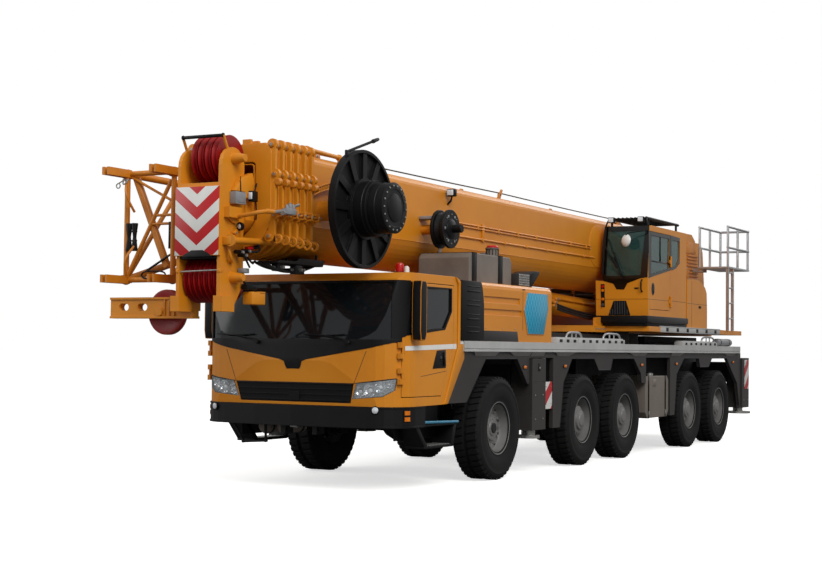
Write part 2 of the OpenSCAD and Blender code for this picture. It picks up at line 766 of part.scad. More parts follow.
// The frame bolted to the innermost section's front: plates, sheave pins, guard and the folded auxiliary arm.
module head_frame() {
  y = boom_front - collar_pitch * 6;
  gap = sheave_r + 15;
  color("Orange") rig() {
    difference() {
      union() {
        both() slab(head_half - 40, head_half) polygon(concat([[-4340, 2000], [-4300, 1950], [-4130, 1950], [-3935, 2230],
          [y - 1, 2700], [y - 1, 3440]], arc([-4135, upper_pin_z - 95], 200, 12, 180, 10)));
        span([-head_half + 1, -4335, lower_pin_z + gap + 10], [head_half - 1, y, upper_pin_z - gap - 10]);
        both() span([head_half - 60, -4365, 1945], [head_half + 50, -4150, 2105]);
        span([-head_half, front_y, 2510], [head_half, -4330, 3215]);
      }
      for (z = [2680, 3100]) rod_x(head_half - 40, head_half + 10, -4000, z, jib_bore / 2);
    }
    for (z = [upper_pin_z, lower_pin_z]) rod_x(-head_half - 15, head_half + 15, sheave_y, z, sheave_pin_r);
    for (z = [upper_pin_z - 10, lower_pin_z + 10]) translate([head_half - 5, -4130, z]) rotate([0, 90, 0])
      cylinder(h = 150, r1 = 62, r2 = 38);
    both() bar([head_half - 20, -4190, 3560], [head_half - 20, -4290, 3738], 15);
    rod_x(15 - head_half, head_half - 15, -4290, 3735, 15);
    difference() {
      union() {
        span([-1360, -4060, 1900], [20 - head_half, -3970, 2090]);
        for (z = [1880, 2080]) span([-1360, -4075, z], [20 - head_half, -3955, z + 24]);
        slab(-470, 20 - head_half) polygon([[-4200, 2095], [-3940, 2095], [-3940, 1960], [-4120, 1960]]);
      }
      for (x = [-1180, -930]) translate([x, -3950, 2000]) rotate([90, 0, 0]) {
        for (k = [-1, 1]) translate([k * 28, 0, 0]) cylinder(h = 130, r = 38);
        span([-28, -38, 0], [28, 38, 130]);
      }
    }
    translate([-700, -3880, 1950]) rotate([90, 0, 0]) cylinder(h = 70, r = 235);
    translate([-700, -3940, 1950]) rotate([90, 0, 0]) cylinder(h = 140, r = 45);
    span([head_half - 5, -4290, 2900], [head_half + 75, -4080, 3010]);
  }
}

// A row of n grooved sheaves on one sleeve, pitch p, on the pin at height z.
module sheaves(n, p, z, off = 0) {
  half = (n - 1) / 2 * p;
  t = p * 0.36;
  color("Maroon") rig() translate([off, sheave_y, z]) rotate([0, 90, 0]) difference() {
    union() {
      for (i = [0 : n - 1]) translate([0, 0, i * p - half]) rotate_extrude() polygon([[60, -t], [sheave_r, -t],
        [sheave_r - 40, -t / 3], [sheave_r - 40, t / 3], [sheave_r, t], [60, t]]);
      translate([0, 0, -half - t]) cylinder(h = 2 * (half + t), r = 80);
    }
    translate([0, 0, -400]) cylinder(h = 800, r = sheave_pin_r + hub_gap);
  }
}

module cable_reel() {
  color("Black") rig() translate([0, reel_y, reel_z]) difference() {
    union() {
      difference() {
        rod_x(950, 1030, 0, 0, 640);
        rod_x(940, 1040, 0, 0, 606);
      }
      rod_x(975, 990, 0, 0, 620);
      for (i = [0 : 11]) rotate([30 * i, 0, 0]) span([960, -40, 280], [1020, 40, 612]);
      rod_x(950, 1040, 0, 0, 330);
      rod_x(1030, 1200, 0, 0, 300);
      rod_x(1190, 1390, 0, 0, 270);
    }
    rod_x(940, 1090, 0, 0, spindle_r + hub_gap);
  }
}

// Jib stations: place, lower and upper height, inner and outer x.
stations = [[-3900, 2300, 3450, -660, -1290], [-3000, 2560, 3430, -650, -1250], [-2000, 2680, 3410, -640, -1200],
            [200, 2740, 3400, -630, -1100], [2700, 2840, 3350, -630, -1000], [5200, 2950, 3300, -630, -900]];

function corner(i, k) = let (s = stations[i]) [k == 0 || k == 3 ? s[3] : s[4], s[0], k < 2 ? s[1] : s[2]];

// A lattice bar that stops short of its two joints, which are balls.
module strut(a, b, r) {
  u = (b - a) / norm(b - a) * 28;
  bar(a + u, b - u, r);
}

module jib() {
  color("Orange") rig() {
    for (i = [0 : 5], k = [0 : 3]) {
      translate(corner(i, k)) sphere(r = 54);
      strut(corner(i, k), corner(i, (k + 1) % 4), 30);
    }
    for (i = [0 : 4]) {
      for (k = [0 : 3]) strut(corner(i, k), corner(i + 1, k), 40);
      strut(corner(i, 1), corner(i + 1, 2), 26);
      strut(corner(i, 0), corner(i + 1, 3), 26);
    }
    for (k = [0 : 3]) let (c = corner(0, k)) for (x = [-48, 18]) span([c[0] + x, -4270, c[2] - 42], [c[0] + x + 30, -3890, c[2] + 42]);
    for (y = [-2000, 2700]) span([-650, y - 60, 3000], [-boom_half, y + 60, 3160]);
  }
}

// Parts

chassis_frame();
axles();
deck();
side_panels();
cab_shell();
cab_glass();
front_trim();
headlamps();
cab_interior();
engine_hood();
engine_block();
tanks();
cab_door(1);  // cab_door_left
cab_door(-1);  // cab_door_right
cab_door_glass(1);  // cab_door_glass_left
cab_door_glass(-1);  // cab_door_glass_right
knuckle(1, 1);  // knuckle_1_left
knuckle(1, -1);  // knuckle_1_right
knuckle(2, 1);  // knuckle_2_left
knuckle(2, -1);  // knuckle_2_right
wheel(1, 1);  // wheel_1_left
wheel(1, -1);  // wheel_1_right
wheel(2, 1);  // wheel_2_left
wheel(2, -1);  // wheel_2_right
wheel(3, 1);  // wheel_3_left
wheel(3, -1);  // wheel_3_right
wheel(4, 1);  // wheel_4_left
wheel(4, -1);  // wheel_4_right
wheel(5, 1);  // wheel_5_left
wheel(5, -1);  // wheel_5_right
outrigger(1, 1160);  // outrigger_front_left
outrigger(-1, 1160);  // outrigger_front_right
outrigger(1, 10750);  // outrigger_rear_left
outrigger(-1, 10750);  // outrigger_rear_right
jack(1, 1160, foot_front_r);  // jack_front_left
jack(-1, 1160, foot_front_r);  // jack_front_right
jack(1, 10750, foot_rear_r);  // jack_rear_left
jack(-1, 10750, foot_rear_r);  // jack_rear_right
turntable();
winch_drum();
op_cab_shell();
op_cab_glass();
op_cab_door();
op_door_glass();
op_cab_interior();
railing();
luff_barrel();
luff_rod();
boom_base();
boom_section(2);  // boom_section_2
boom_section(3);  // boom_section_3
boom_section(4);  // boom_section_4
boom_section(5);  // boom_section_5
boom_section(6);  // boom_section_6
boom_head();
head_frame();
sheaves(4, 86, upper_pin_z, 24);  // upper_sheaves
sheaves(7, 62, lower_pin_z);  // lower_sheaves
cable_reel();
jib();
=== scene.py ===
import math

import bmesh
import bpy
from mathutils import Matrix, Vector


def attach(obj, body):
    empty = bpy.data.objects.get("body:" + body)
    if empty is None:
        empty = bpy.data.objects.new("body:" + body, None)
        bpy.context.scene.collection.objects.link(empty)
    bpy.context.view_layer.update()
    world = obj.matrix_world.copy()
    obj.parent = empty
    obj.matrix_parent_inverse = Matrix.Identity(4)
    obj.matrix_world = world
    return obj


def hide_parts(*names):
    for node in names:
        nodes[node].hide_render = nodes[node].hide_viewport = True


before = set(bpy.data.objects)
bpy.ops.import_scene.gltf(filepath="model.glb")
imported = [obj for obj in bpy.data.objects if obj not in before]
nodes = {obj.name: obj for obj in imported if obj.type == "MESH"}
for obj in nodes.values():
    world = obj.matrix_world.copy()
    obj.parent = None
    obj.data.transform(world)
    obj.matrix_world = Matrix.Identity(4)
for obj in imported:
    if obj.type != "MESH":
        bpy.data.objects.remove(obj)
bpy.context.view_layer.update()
scene = bpy.context.scene
axleOne = -3.440  # place of the first axle along Y; pieces below are measured from it
print("frame loaded:", len(nodes), "nodes")


def linear(hexColour):
    # sRGB hex to linear RGBA
    parts = [int(hexColour[i:i + 2], 16) / 255 for i in (1, 3, 5)]
    return tuple(c / 12.92 if c <= 0.04045 else ((c + 0.055) / 1.055) ** 2.4 for c in parts) + (1.0,)


def addNode(tree, kind, settings=None, links=None):
    # settings: attribute or input name to value, links: input name to another node's output
    node = tree.nodes.new(kind)
    for key, value in (settings or {}).items():
        if isinstance(key, str) and hasattr(node, key):
            setattr(node, key, value)
        else:
            node.inputs[key].default_value = value
    for key, output in (links or {}).items():
        tree.links.new(output, node.inputs[key])
    return node


def startMaterial(name, **shader):
    material = bpy.data.materials.new(name)
    material.use_nodes = True
    tree = material.node_tree
    principled = tree.nodes["Principled BSDF"]
    for key, value in shader.items():
        principled.inputs[key.replace("_", " ")].default_value = value
    place = addNode(tree, "ShaderNodeTexCoord").outputs["Object"]
    return material, tree, principled, place


def coatedFinish(name, light, dark, patch, grain, rough, spread, bump, dust="", edge=0.0, **shader):
    # patch and grain are the sizes in metres of the tone patches and of the fine surface grain
    material, tree, principled, place = startMaterial(name, **shader)
    tone = addNode(tree, "ShaderNodeTexNoise", {"Scale": 1 / patch, "Detail": 5.0, "Roughness": 0.6},
                   {"Vector": place})
    mix = addNode(tree, "ShaderNodeValToRGB", links={"Fac": tone.outputs["Fac"]})
    mix.color_ramp.elements[0].position = 0.3
    mix.color_ramp.elements[0].color = linear(dark)
    mix.color_ramp.elements[1].position = 0.62
    mix.color_ramp.elements[1].color = linear(light)
    colour = mix.outputs["Color"]
    if dust:
        # road dust gathers low on the machine and in soft patches
        height = addNode(tree, "ShaderNodeSeparateXYZ", links={"Vector": place}).outputs["Z"]
        low = addNode(tree, "ShaderNodeMapRange",
                      {"From Min": 0.3, "From Max": 1.9, "To Min": 0.55, "To Max": 0.0},
                      {"Value": height})
        film = addNode(tree, "ShaderNodeMath", {"operation": "MULTIPLY"},
                       {0: low.outputs["Result"], 1: tone.outputs["Fac"]})
        blend = addNode(tree, "ShaderNodeMix", {"data_type": "RGBA"},
                        {"Factor": film.outputs[0]})
        tree.links.new(colour, blend.inputs["A"])
        blend.inputs["B"].default_value = linear(dust)
        colour = blend.outputs["Result"]
    tree.links.new(colour, principled.inputs["Base Color"])
    gloss = addNode(tree, "ShaderNodeMapRange", {"To Min": rough - spread, "To Max": rough + spread},
                    {"Value": tone.outputs["Fac"]})
    tree.links.new(gloss.outputs["Result"], principled.inputs["Roughness"])
    fine = addNode(tree, "ShaderNodeTexNoise", {"Scale": 1 / grain, "Detail": 3.0}, {"Vector": place})
    relief = addNode(tree, "ShaderNodeBump", {"Strength": bump, "Distance": grain * 0.2},
                     {"Height": fine.outputs["Fac"]})
    if edge:
        rounded = addNode(tree, "ShaderNodeBevel", {"samples": 4, "Radius": edge})
        tree.links.new(rounded.outputs["Normal"], relief.inputs["Normal"])
    tree.links.new(relief.outputs["Normal"], principled.inputs["Normal"])
    return material


# Two-pack polyurethane enamel, sprayed: warm orange, smooth gloss with a slight orange peel
orangeEnamel = coatedFinish("orange_enamel", "#d98a1e", "#d08016", 0.9, 0.004, 0.4, 0.05, 0.04, "", 0.008,
                            Coat_Weight=0.08, Coat_Roughness=0.15, Specular_IOR_Level=0.35)
# The same enamel on lattice and small castings, a little duller
orangeCasting = coatedFinish("orange_casting_enamel", "#cf801a", "#bb6f12", 0.35, 0.003, 0.45, 0.06, 0.08,
                             "", 0.004)
# Light grey structure paint on deck edges and trays: satin, with scuffed patches
deckGrey = coatedFinish("light_grey_structure_paint", "#b9b9b7", "#a8a8a6", 0.6, 0.003, 0.5, 0.08, 0.06, "",
                        0.006)
# Glass-fibre wheel arch panels in dark grey gelcoat: matt, road film over it
panelGrey = coatedFinish("dark_grey_gelcoat", "#2c2928", "#242221", 0.5, 0.003, 0.55, 0.08, 0.08, "#4a443e",
                         0.006)
# The same gelcoat on the lips over the arches, made lighter as painted highlight because these chamfers face
# the sky
lipLitGrey = coatedFinish("painted_highlight_grey_gelcoat", "#6d6a68", "#5d5a58", 0.3, 0.003, 0.55, 0.08, 0.06, "", 0.004)
# Chassis paint: flat dark grey over welded plate, dusty
chassisGrey = coatedFinish("chassis_grey_paint", "#141313", "#0e0e0e", 0.4, 0.004, 0.66, 0.08, 0.12,
                           "#292521", 0.006)
# Moulded black ABS: fine leather-like grain, low sheen
blackPlastic = coatedFinish("moulded_black_abs", "#0d0d0e", "#09090a", 0.3, 0.0025, 0.5, 0.06, 0.15, "",
                            0.005,
                            Specular_IOR_Level=0.25)
# Gloss black screen print and lacquer round the windows
blackLacquer = coatedFinish("gloss_black_lacquer", "#060606", "#050505", 0.8, 0.004, 0.16, 0.03, 0.02, "")
# Natural rubber tyre compound: soot black, matt, greyed by dust
tyreRubber = coatedFinish("tyre_rubber", "#101010", "#0b0b0b", 0.12, 0.003, 0.8, 0.06, 0.25, "#211f1d",
                          Specular_IOR_Level=0.3)
# Silver-grey wheel enamel
rimGrey = coatedFinish("wheel_grey_enamel", "#7d7d7d", "#686868", 0.25, 0.003, 0.42, 0.06, 0.05, "#6d665d",
                       0.004)
# Brown-grey enamel on pressed steel tanks, dull
tankGrey = coatedFinish("brown_grey_tank_enamel", "#7b7168", "#6a6159", 0.4, 0.003, 0.46, 0.06, 0.06,
                        "#6f665b", 0.02)
# Cast nylon sheaves, deep red, waxy
sheaveNylon = coatedFinish("cast_red_nylon", "#9a0a0c", "#840709", 0.2, 0.003, 0.4, 0.05, 0.06, "", 0.003)
# Mill-finish aluminium of rails and ladders
railAluminium = coatedFinish("mill_finish_aluminium", "#c9cacb", "#b4b5b7", 0.2, 0.002, 0.38, 0.08, 0.05,
                             "", 0.003, Metallic=0.85)
# Hard chrome on piston rods
chromedSteel = coatedFinish("hard_chrome", "#d4d6d8", "#c6c8ca", 0.5, 0.003, 0.14, 0.04, 0.01, "",
                            Metallic=1.0)
# Zinc-plated steel of fittings, chains and clips
zincSteel = coatedFinish("zinc_plated_steel", "#b3b2ae", "#96958f", 0.05, 0.002, 0.36, 0.08, 0.08, "",
                         0.002, Metallic=0.7)
# Greased hoist rope of drawn steel wire, dark with lubricant
ropeWire = coatedFinish("greased_wire_rope", "#3a3835", "#26241f", 0.03, 0.002, 0.5, 0.08, 0.4, "",
                        Metallic=0.5)
# Hydraulic hose rubber
hoseRubber = coatedFinish("hydraulic_hose_rubber", "#1b1b1d", "#121214", 0.08, 0.002, 0.55, 0.06, 0.2, "")
# Grey plastic conduit boxes and reels
conduitGrey = coatedFinish("grey_conduit_plastic", "#8d8e90", "#7c7d80", 0.15, 0.002, 0.5, 0.06, 0.08, "",
                           0.004)
# Cab lining and trim, grained dark vinyl
liningVinyl = coatedFinish("grained_lining_vinyl", "#3b3d40", "#313336", 0.3, 0.003, 0.6, 0.06, 0.2, "",
                           0.006)
# Cast iron and sheet covers of the engine
engineIron = coatedFinish("cast_iron_paint", "#4d5052", "#3c3f41", 0.2, 0.004, 0.6, 0.08, 0.2, "#5c564e",
                          0.005)
# Retro-reflective sheeting
markRed = coatedFinish("red_reflective_sheeting", "#c4161c", "#b31218", 0.3, 0.003, 0.32, 0.04, 0.06, "")
markWhite = coatedFinish("white_reflective_sheeting", "#e9e8e4", "#dddcd7", 0.3, 0.003, 0.32, 0.04, 0.06, "")
# Lamp reflectors, vacuum metallised
lampChrome = coatedFinish("metallised_reflector", "#e3e6ea", "#d4d8dc", 0.05, 0.003, 0.12, 0.04, 0.02, "",
                          Metallic=1.0)
# Polycarbonate lamp lenses, moulded with fine flutes
amberLens = coatedFinish("amber_polycarbonate", "#e07a12", "#c96409", 0.04, 0.003, 0.18, 0.04, 0.2, "")
redLens = coatedFinish("red_polycarbonate", "#c01a18", "#9f1213", 0.04, 0.003, 0.18, 0.04, 0.2, "")
frostLens = coatedFinish("clear_polycarbonate", "#dfe3e6", "#c4c9cd", 0.04, 0.004, 0.14, 0.04, 0.3, "")
# Sprayed gloss enamel on grab rails and the side panel, medium blue
blueEnamel = coatedFinish("blue_enamel", "#2f7f9e", "#276f8c", 0.3, 0.003, 0.34, 0.05, 0.05, "", 0.003)
# Upholstery cloth on the seats
seatCloth = coatedFinish("seat_upholstery_cloth", "#45484d", "#34373b", 0.02, 0.0016, 0.85, 0.05, 0.5, "",
                         Sheen_Weight=0.4)


def tintedGlass(name, tint, clear, rough):
    # bent laminated glass: dark tint, sharp reflections, a faint wipe film
    material, tree, principled, place = startMaterial(name, IOR=1.5, Transmission_Weight=clear)
    film = addNode(tree, "ShaderNodeTexNoise", {"Scale": 1 / 0.35, "Detail": 4.0}, {"Vector": place})
    shade = addNode(tree, "ShaderNodeValToRGB", links={"Fac": film.outputs["Fac"]})
    shade.color_ramp.elements[0].color = linear(tint)
    shade.color_ramp.elements[1].color = tuple(min(1.0, c * 1.25) for c in linear(tint)[:3]) + (1.0,)
    tree.links.new(shade.outputs["Color"], principled.inputs["Base Color"])
    wipe = addNode(tree, "ShaderNodeMapRange", {"To Min": rough, "To Max": rough + 0.05},
                   {"Value": film.outputs["Fac"]})
    tree.links.new(wipe.outputs["Result"], principled.inputs["Roughness"])
    return material


cabGlass = tintedGlass("smoked_laminated_glass", "#20262a", 0.6, 0.02)
greenGlass = tintedGlass("green_tinted_glass", "#4f7c76", 0.8, 0.02)
print("materials ready")

# CAD nodes keep their shape and take these finishes
finishes = {
    "chassis_frame": chassisGrey, "axles": chassisGrey, "deck": deckGrey, "side_panels": panelGrey,
    "cab_shell": orangeEnamel, "cab_glass": cabGlass, "front_trim": blackPlastic, "headlamps": frostLens,
    "cab_interior": liningVinyl, "engine_hood": orangeEnamel, "engine_block": engineIron, "tanks": tankGrey,
    "turntable": orangeEnamel, "winch_drum": zincSteel, "op_cab_shell": orangeEnamel,
    "op_cab_glass": greenGlass,
    "op_cab_door": orangeEnamel, "op_door_glass": greenGlass, "op_cab_interior": liningVinyl,
    "railing": railAluminium,
    "luff_barrel": orangeEnamel, "luff_rod": chromedSteel, "boom_head": orangeEnamel,
    "boom_base": orangeEnamel, "head_frame": orangeEnamel,
    "upper_sheaves": sheaveNylon, "lower_sheaves": sheaveNylon, "cable_reel": blackPlastic,
    "jib": orangeCasting,
}
for nodeName, nodeObject in nodes.items():
    finish = finishes.get(nodeName)
    if nodeName.startswith("cab_door_glass"):
        finish = cabGlass
    elif nodeName.startswith(("cab_door", "boom_section")):
        finish = orangeEnamel
    elif nodeName.startswith("outrigger"):
        finish = panelGrey
    elif nodeName.startswith("knuckle"):
        finish = chassisGrey
    elif nodeName.startswith("jack"):
        finish = zincSteel
    elif nodeName.startswith("wheel"):
        finish = tyreRubber
    nodeObject.data.materials.clear()
    nodeObject.data.materials.append(finish)
print("CAD nodes finished")


def at(x, y, z):
    # millimetres, with y from the first axle, to the row frame in metres
    return Vector((x / 1000, y / 1000 + axleOne, z / 1000))


def newFaces(mesh, before, index):
    made = [face for face in mesh.faces if face not in before]
    for face in made:
        face.material_index = index
    return made


def softenEdges(mesh, faces, width, segments=2):
    sharp = {edge for face in faces for edge in face.edges
             if edge.is_manifold and edge.calc_face_angle(0.0) > 0.5}
    bmesh.ops.bevel(mesh, geom=list(sharp), offset=width / 1000, affect="EDGES", segments=segments,
                    profile=0.5,
                    material=-1, clamp_overlap=True)


def addBox(mesh, low, high, edge=0.0, index=0, segments=2, turn=None):
    # turn: (degrees, axis letter) about the box's own centre
    before = set(mesh.faces)
    corners = [at(*low), at(*high)]
    size = Vector([abs(b - a) for a, b in zip(*corners)])
    spot = Matrix.Translation((corners[0] + corners[1]) / 2)
    if turn:
        spot = spot @ Matrix.Rotation(math.radians(turn[0]), 4, turn[1])
    bmesh.ops.create_cube(mesh, size=1.0, matrix=spot @ Matrix.Diagonal((*size, 1.0)))
    made = newFaces(mesh, before, index)
    if edge:
        softenEdges(mesh, made, edge, segments)


def addTube(mesh, start, end, radius, segments=16, endRadius=None, index=0, edge=0.0):
    before = set(mesh.faces)
    a, b = at(*start), at(*end)
    run = b - a
    spot = Matrix.Translation((a + b) / 2) @ run.to_track_quat("Z", "Y").to_matrix().to_4x4()
    bmesh.ops.create_cone(mesh, cap_ends=True, segments=segments, radius1=radius / 1000,
                          radius2=(radius if endRadius is None else endRadius) / 1000, depth=run.length,
                          matrix=spot)
    made = newFaces(mesh, before, index)
    if edge:
        softenEdges(mesh, made, edge)


def addLathe(mesh, profile, centre, axis, segments=48, index=0):
    # profile: (radius, distance along the axis) in millimetres, spun a full turn about the axis
    beforeVerts, beforeFaces = set(mesh.verts), set(mesh.faces)
    chain = [mesh.verts.new((radius / 1000, 0.0, along / 1000)) for radius, along in profile]
    runs = [mesh.edges.new(pair) for pair in zip(chain, chain[1:])]
    bmesh.ops.spin(mesh, geom=chain + runs, cent=(0, 0, 0), axis=(0, 0, 1), angle=math.tau, steps=segments,
                   use_merge=True)
    turned = [vert for vert in mesh.verts if vert not in beforeVerts]
    bmesh.ops.remove_doubles(mesh, verts=turned, dist=1e-6)
    turned = [vert for vert in mesh.verts if vert not in beforeVerts]
    spot = Matrix.Translation(at(*centre)) @ Vector(axis).to_track_quat("Z", "Y").to_matrix().to_4x4()
    bmesh.ops.transform(mesh, matrix=spot, verts=turned)
    made = newFaces(mesh, beforeFaces, index)
    bmesh.ops.recalc_face_normals(mesh, faces=made)


def addPlate(mesh, outline, axis, low, high, edge=0.0, index=0, segments=2):
    # outline: (y, z), (x, z) or (x, y) points for a plate along x, y or z
    before = set(mesh.faces)
    order = {
        "x": lambda p, h: at(h, p[0], p[1]),
        "y": lambda p, h: at(p[0], h, p[1]),
        "z": lambda p, h: at(p[0], p[1], h),
    }
    base = mesh.faces.new([mesh.verts.new(order[axis](point, low)) for point in outline])
    grown = bmesh.ops.extrude_face_region(mesh, geom=[base])["geom"]
    raised = [item for item in grown if isinstance(item, bmesh.types.BMVert)]
    bmesh.ops.translate(mesh, vec=order[axis]((0, 0), high) - order[axis]((0, 0), low), verts=raised)
    made = newFaces(mesh, before, index)
    bmesh.ops.recalc_face_normals(mesh, faces=made)
    if edge:
        softenEdges(mesh, made, edge, segments)


def addHose(mesh, points, radius, index=0, smooth=True):
    # a bent tube through points, swept on a curve and kept as mesh
    before = set(mesh.faces)
    curve = bpy.data.curves.new("route", "CURVE")
    curve.dimensions = "3D"
    curve.bevel_depth = radius / 1000
    curve.bevel_resolution = 2
    curve.use_fill_caps = True
    spline = curve.splines.new("NURBS" if smooth else "POLY")
    spline.points.add(len(points) - 1)
    for spot, point in zip(spline.points, points):
        spot.co = (*at(*point), 1.0)
    spline.order_u = 3
    spline.resolution_u = 5
    spline.use_endpoint_u = True
    holder = bpy.data.objects.new("route", curve)
    swept = bpy.data.meshes.new_from_object(holder)
    mesh.from_mesh(swept)
    bpy.data.objects.remove(holder)
    bpy.data.curves.remove(curve)
    bpy.data.meshes.remove(swept)
    newFaces(mesh, before, index)


def addBolts(mesh, centre, axis, ring, count, radius, height, index=0, phase=0.0):
    # hexagon heads on a bolt circle
    spot = Matrix.Translation(at(*centre)) @ Vector(axis).to_track_quat("Z", "Y").to_matrix().to_4x4()
    before = set(mesh.faces)
    for i in range(count):
        turn = math.tau * i / count + phase
        seat = Matrix.Translation((ring / 1000 * math.cos(turn), ring / 1000 * math.sin(turn), height / 2000))
        bmesh.ops.create_cone(mesh, cap_ends=True, segments=6, radius1=radius / 1000, radius2=radius / 1000,
                              depth=height / 1000, matrix=spot @ seat)
    newFaces(mesh, before, index)


def finishPiece(name, mesh, finish, body, stands=(), smooth=32):
    data = bpy.data.meshes.new(name)
    mesh.to_mesh(data)
    mesh.free()
    for material in finish if isinstance(finish, (list, tuple)) else [finish]:
        data.materials.append(material)
    data.shade_smooth()
    data.set_sharp_from_angle(angle=math.radians(smooth))
    piece = bpy.data.objects.new(name, data)
    scene.collection.objects.link(piece)
    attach(piece, body)
    if stands:
        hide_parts(*stands)
    return piece

# Wheels: ribbed cross-ply blocks on the tread, pressed steel rims, hub covers and wheel nuts
wheelBuild = {
    "centre": 1182.5, "radius": 630.0, "axles": (0.0, 2750.0, 4400.0, 7480.0, 9130.0), "blocks": 44,
    "nuts": 12,
    "tyre": [(292, -150), (318, -166), (340, -164), (366, -174), (412, -189), (500, -191), (545, -186),
             (552, -189),
             (578, -182), (605, -160), (611, -145), (611, -24), (602, -20), (602, 20), (611, 24),
             (611, 145), (605, 160),
             (578, 182), (552, 189), (545, 186), (500, 191), (412, 190), (366, 174), (340, 164), (318, 166),
             (292, 150)],
    "flatRim": [(292, -150), (322, -160), (326, -150), (304, -140), (292, -60), (292, 60), (304, 140),
                (328, 150),
                (329, 163), (319, 168), (307, 158), (303, 149), (296, 151), (288, 70), (276, 42), (188, 40),
                (180, 50),
                (152, 52), (146, 76), (98, 80), (90, 92), (0, 94)],
    "deepRim": [(292, -150), (322, -160), (326, -150), (304, -140), (292, -60), (292, 10), (304, 140),
                (328, 150),
                (329, 163), (319, 168), (307, 158), (303, 149), (296, 151), (288, 60), (276, 14), (196, 12),
                (194, 84),
                (184, 96), (140, 104), (132, 132), (92, 140), (84, 152), (0, 156)],
    "face": {"flatRim": (42, 76, 214), "deepRim": (14, 104, 232)},
}


def buildWheel(rim):
    mesh = bmesh.new()
    hub = (0, -axleOne * 1000, 0)
    discAt, coverAt, nutRing = wheelBuild["face"][rim]
    addLathe(mesh, wheelBuild["tyre"], hub, (1, 0, 0), 72, 0)
    addLathe(mesh, wheelBuild[rim], hub, (1, 0, 0), 56, 1)
    addBolts(mesh, (discAt - 3, hub[1], 0), (1, 0, 0), nutRing, wheelBuild["nuts"], 15, 26, 2)
    addBolts(mesh, (coverAt - 2, hub[1], 0), (1, 0, 0), 118, 10, 8, 10, 2, 0.2)
    # hand holes as black discs round the disc: painted shade standing in for the open holes
    for i in range(10):
        turn = math.tau * (i + 0.5) / 10
        y, z = 254 * math.cos(turn), 254 * math.sin(turn)
        addTube(mesh, (discAt - 6, hub[1] + y, z), (discAt + 1.5, hub[1] + y, z), 17, 14, None, 3)
    # tread blocks and shoulder lugs: one skewed block, turned round the axle
    before = set(mesh.verts)
    beforeFaces = set(mesh.faces)
    for side in (-1, 1):
        block = bmesh.ops.create_cube(mesh, size=1.0)["verts"]
        for vert in block:
            outer = vert.co.z > 0
            along = vert.co.x > 0
            skew = (0.010 if along else -0.012) * side
            vert.co = Vector((side * (0.152 if along else 0.030),
                              (0.026 if outer else 0.031) * math.copysign(1, vert.co.y) + skew,
                              0.6295 if outer else 0.600))
        lug = bmesh.ops.create_cube(mesh, size=1.0)["verts"]
        for vert in lug:
            outer = vert.co.z > 0
            along = vert.co.x > 0
            reach = (0.150 if outer else 0.181) if along else 0.120
            vert.co = Vector((side * reach,
                              (0.020 if outer else 0.024) * math.copysign(1, vert.co.y) + 0.010 * side,
                              0.627 if outer else 0.572))
    first = [vert for vert in mesh.verts if vert not in before]
    bmesh.ops.recalc_face_normals(mesh, faces=[face for face in mesh.faces if face not in beforeFaces])
    shape = (first + [e for e in {e for v in first for e in v.link_edges}]
             + [f for f in {f for v in first for f in v.link_faces}])
    step = math.tau / wheelBuild["blocks"]
    half = [v for v in first if v.co.x < 0]
    bmesh.ops.rotate(mesh, cent=(0, 0, 0), matrix=Matrix.Rotation(step / 2, 3, "X"), verts=half)
    bmesh.ops.spin(mesh, geom=shape, cent=(0, 0, 0), axis=(1, 0, 0), angle=math.tau - step,
                   steps=wheelBuild["blocks"] - 1, use_duplicate=True)
    return mesh


for rimKind, axleNumbers in (("flatRim", (1,)), ("deepRim", (2, 3, 4, 5))):
    wheelMesh = buildWheel(rimKind)
    for number in axleNumbers:
        for sideName, side in (("left", 1), ("right", -1)):
            copy = wheelMesh.copy()
            spot = at(side * wheelBuild["centre"], wheelBuild["axles"][number - 1], wheelBuild["radius"])
            face = Matrix.Rotation(0 if side > 0 else math.pi, 4, "Z")
            bmesh.ops.transform(copy, matrix=Matrix.Translation(spot) @ face, verts=copy.verts)
            wheelName = "wheel_%d_%s" % (number, sideName)
            finishPiece(wheelName + "_dressed", copy, (tyreRubber, rimGrey, zincSteel, blackPlastic),
                        wheelName,
                        (wheelName,))
    wheelMesh.free()
print("wheels built")

# Driver's cab: the skin's plan and rake, and what lies on it
cabShape = {
    "half": 1330.0, "corner": 390.0, "frontY": -2522.0, "bow": ((0, -48), (500, -34), (940, 0)),
    "rake": ((950, -2500), (1450, -2560), (1650, -2540), (2360, -2380), (2430, -2280)),
}


def lineAt(points, value):
    # second value of a polyline at its first, ends held
    if value <= points[0][0]:
        return points[0][1]
    for (a, b), (c, d) in zip(points, points[1:]):
        if value <= c:
            return b + (d - b) * (value - a) / (c - a) if c > a else d
    return points[-1][1]


def cabSkin(along, z, off):
    # millimetres; along runs round the plan from the centre line, positive to the left side
    corner = cabShape["corner"]
    flat = cabShape["half"] - corner
    run = abs(along)
    turn = min(max((run - flat) / corner, 0.0), math.pi / 2)
    if run <= flat:
        x, y = run, cabShape["frontY"] + lineAt(cabShape["bow"], run) - off
    else:
        x = flat + (corner + off) * math.sin(turn)
        y = (cabShape["frontY"] + corner - (corner + off) * math.cos(turn)
             + max(0.0, run - flat - corner * math.pi / 2))
    return math.copysign(x, along), max(y, lineAt(cabShape["rake"], z) - off), z


def alongAt(x):
    # run along the plan for a place across the front
    corner = cabShape["corner"]
    flat = cabShape["half"] - corner
    rest = min(max(abs(x) - flat, 0.0) / corner, 1.0)
    return math.copysign(min(abs(x), flat) + corner * math.asin(rest), x)


def alongSide(y):
    # run along the plan for a place on the left side
    corner = cabShape["corner"]
    back = y - cabShape["frontY"] - corner
    flat = cabShape["half"] - corner
    return (flat + corner * math.pi / 2 + back if back >= 0
            else flat + corner * math.acos(min(1.0, -back / corner)))


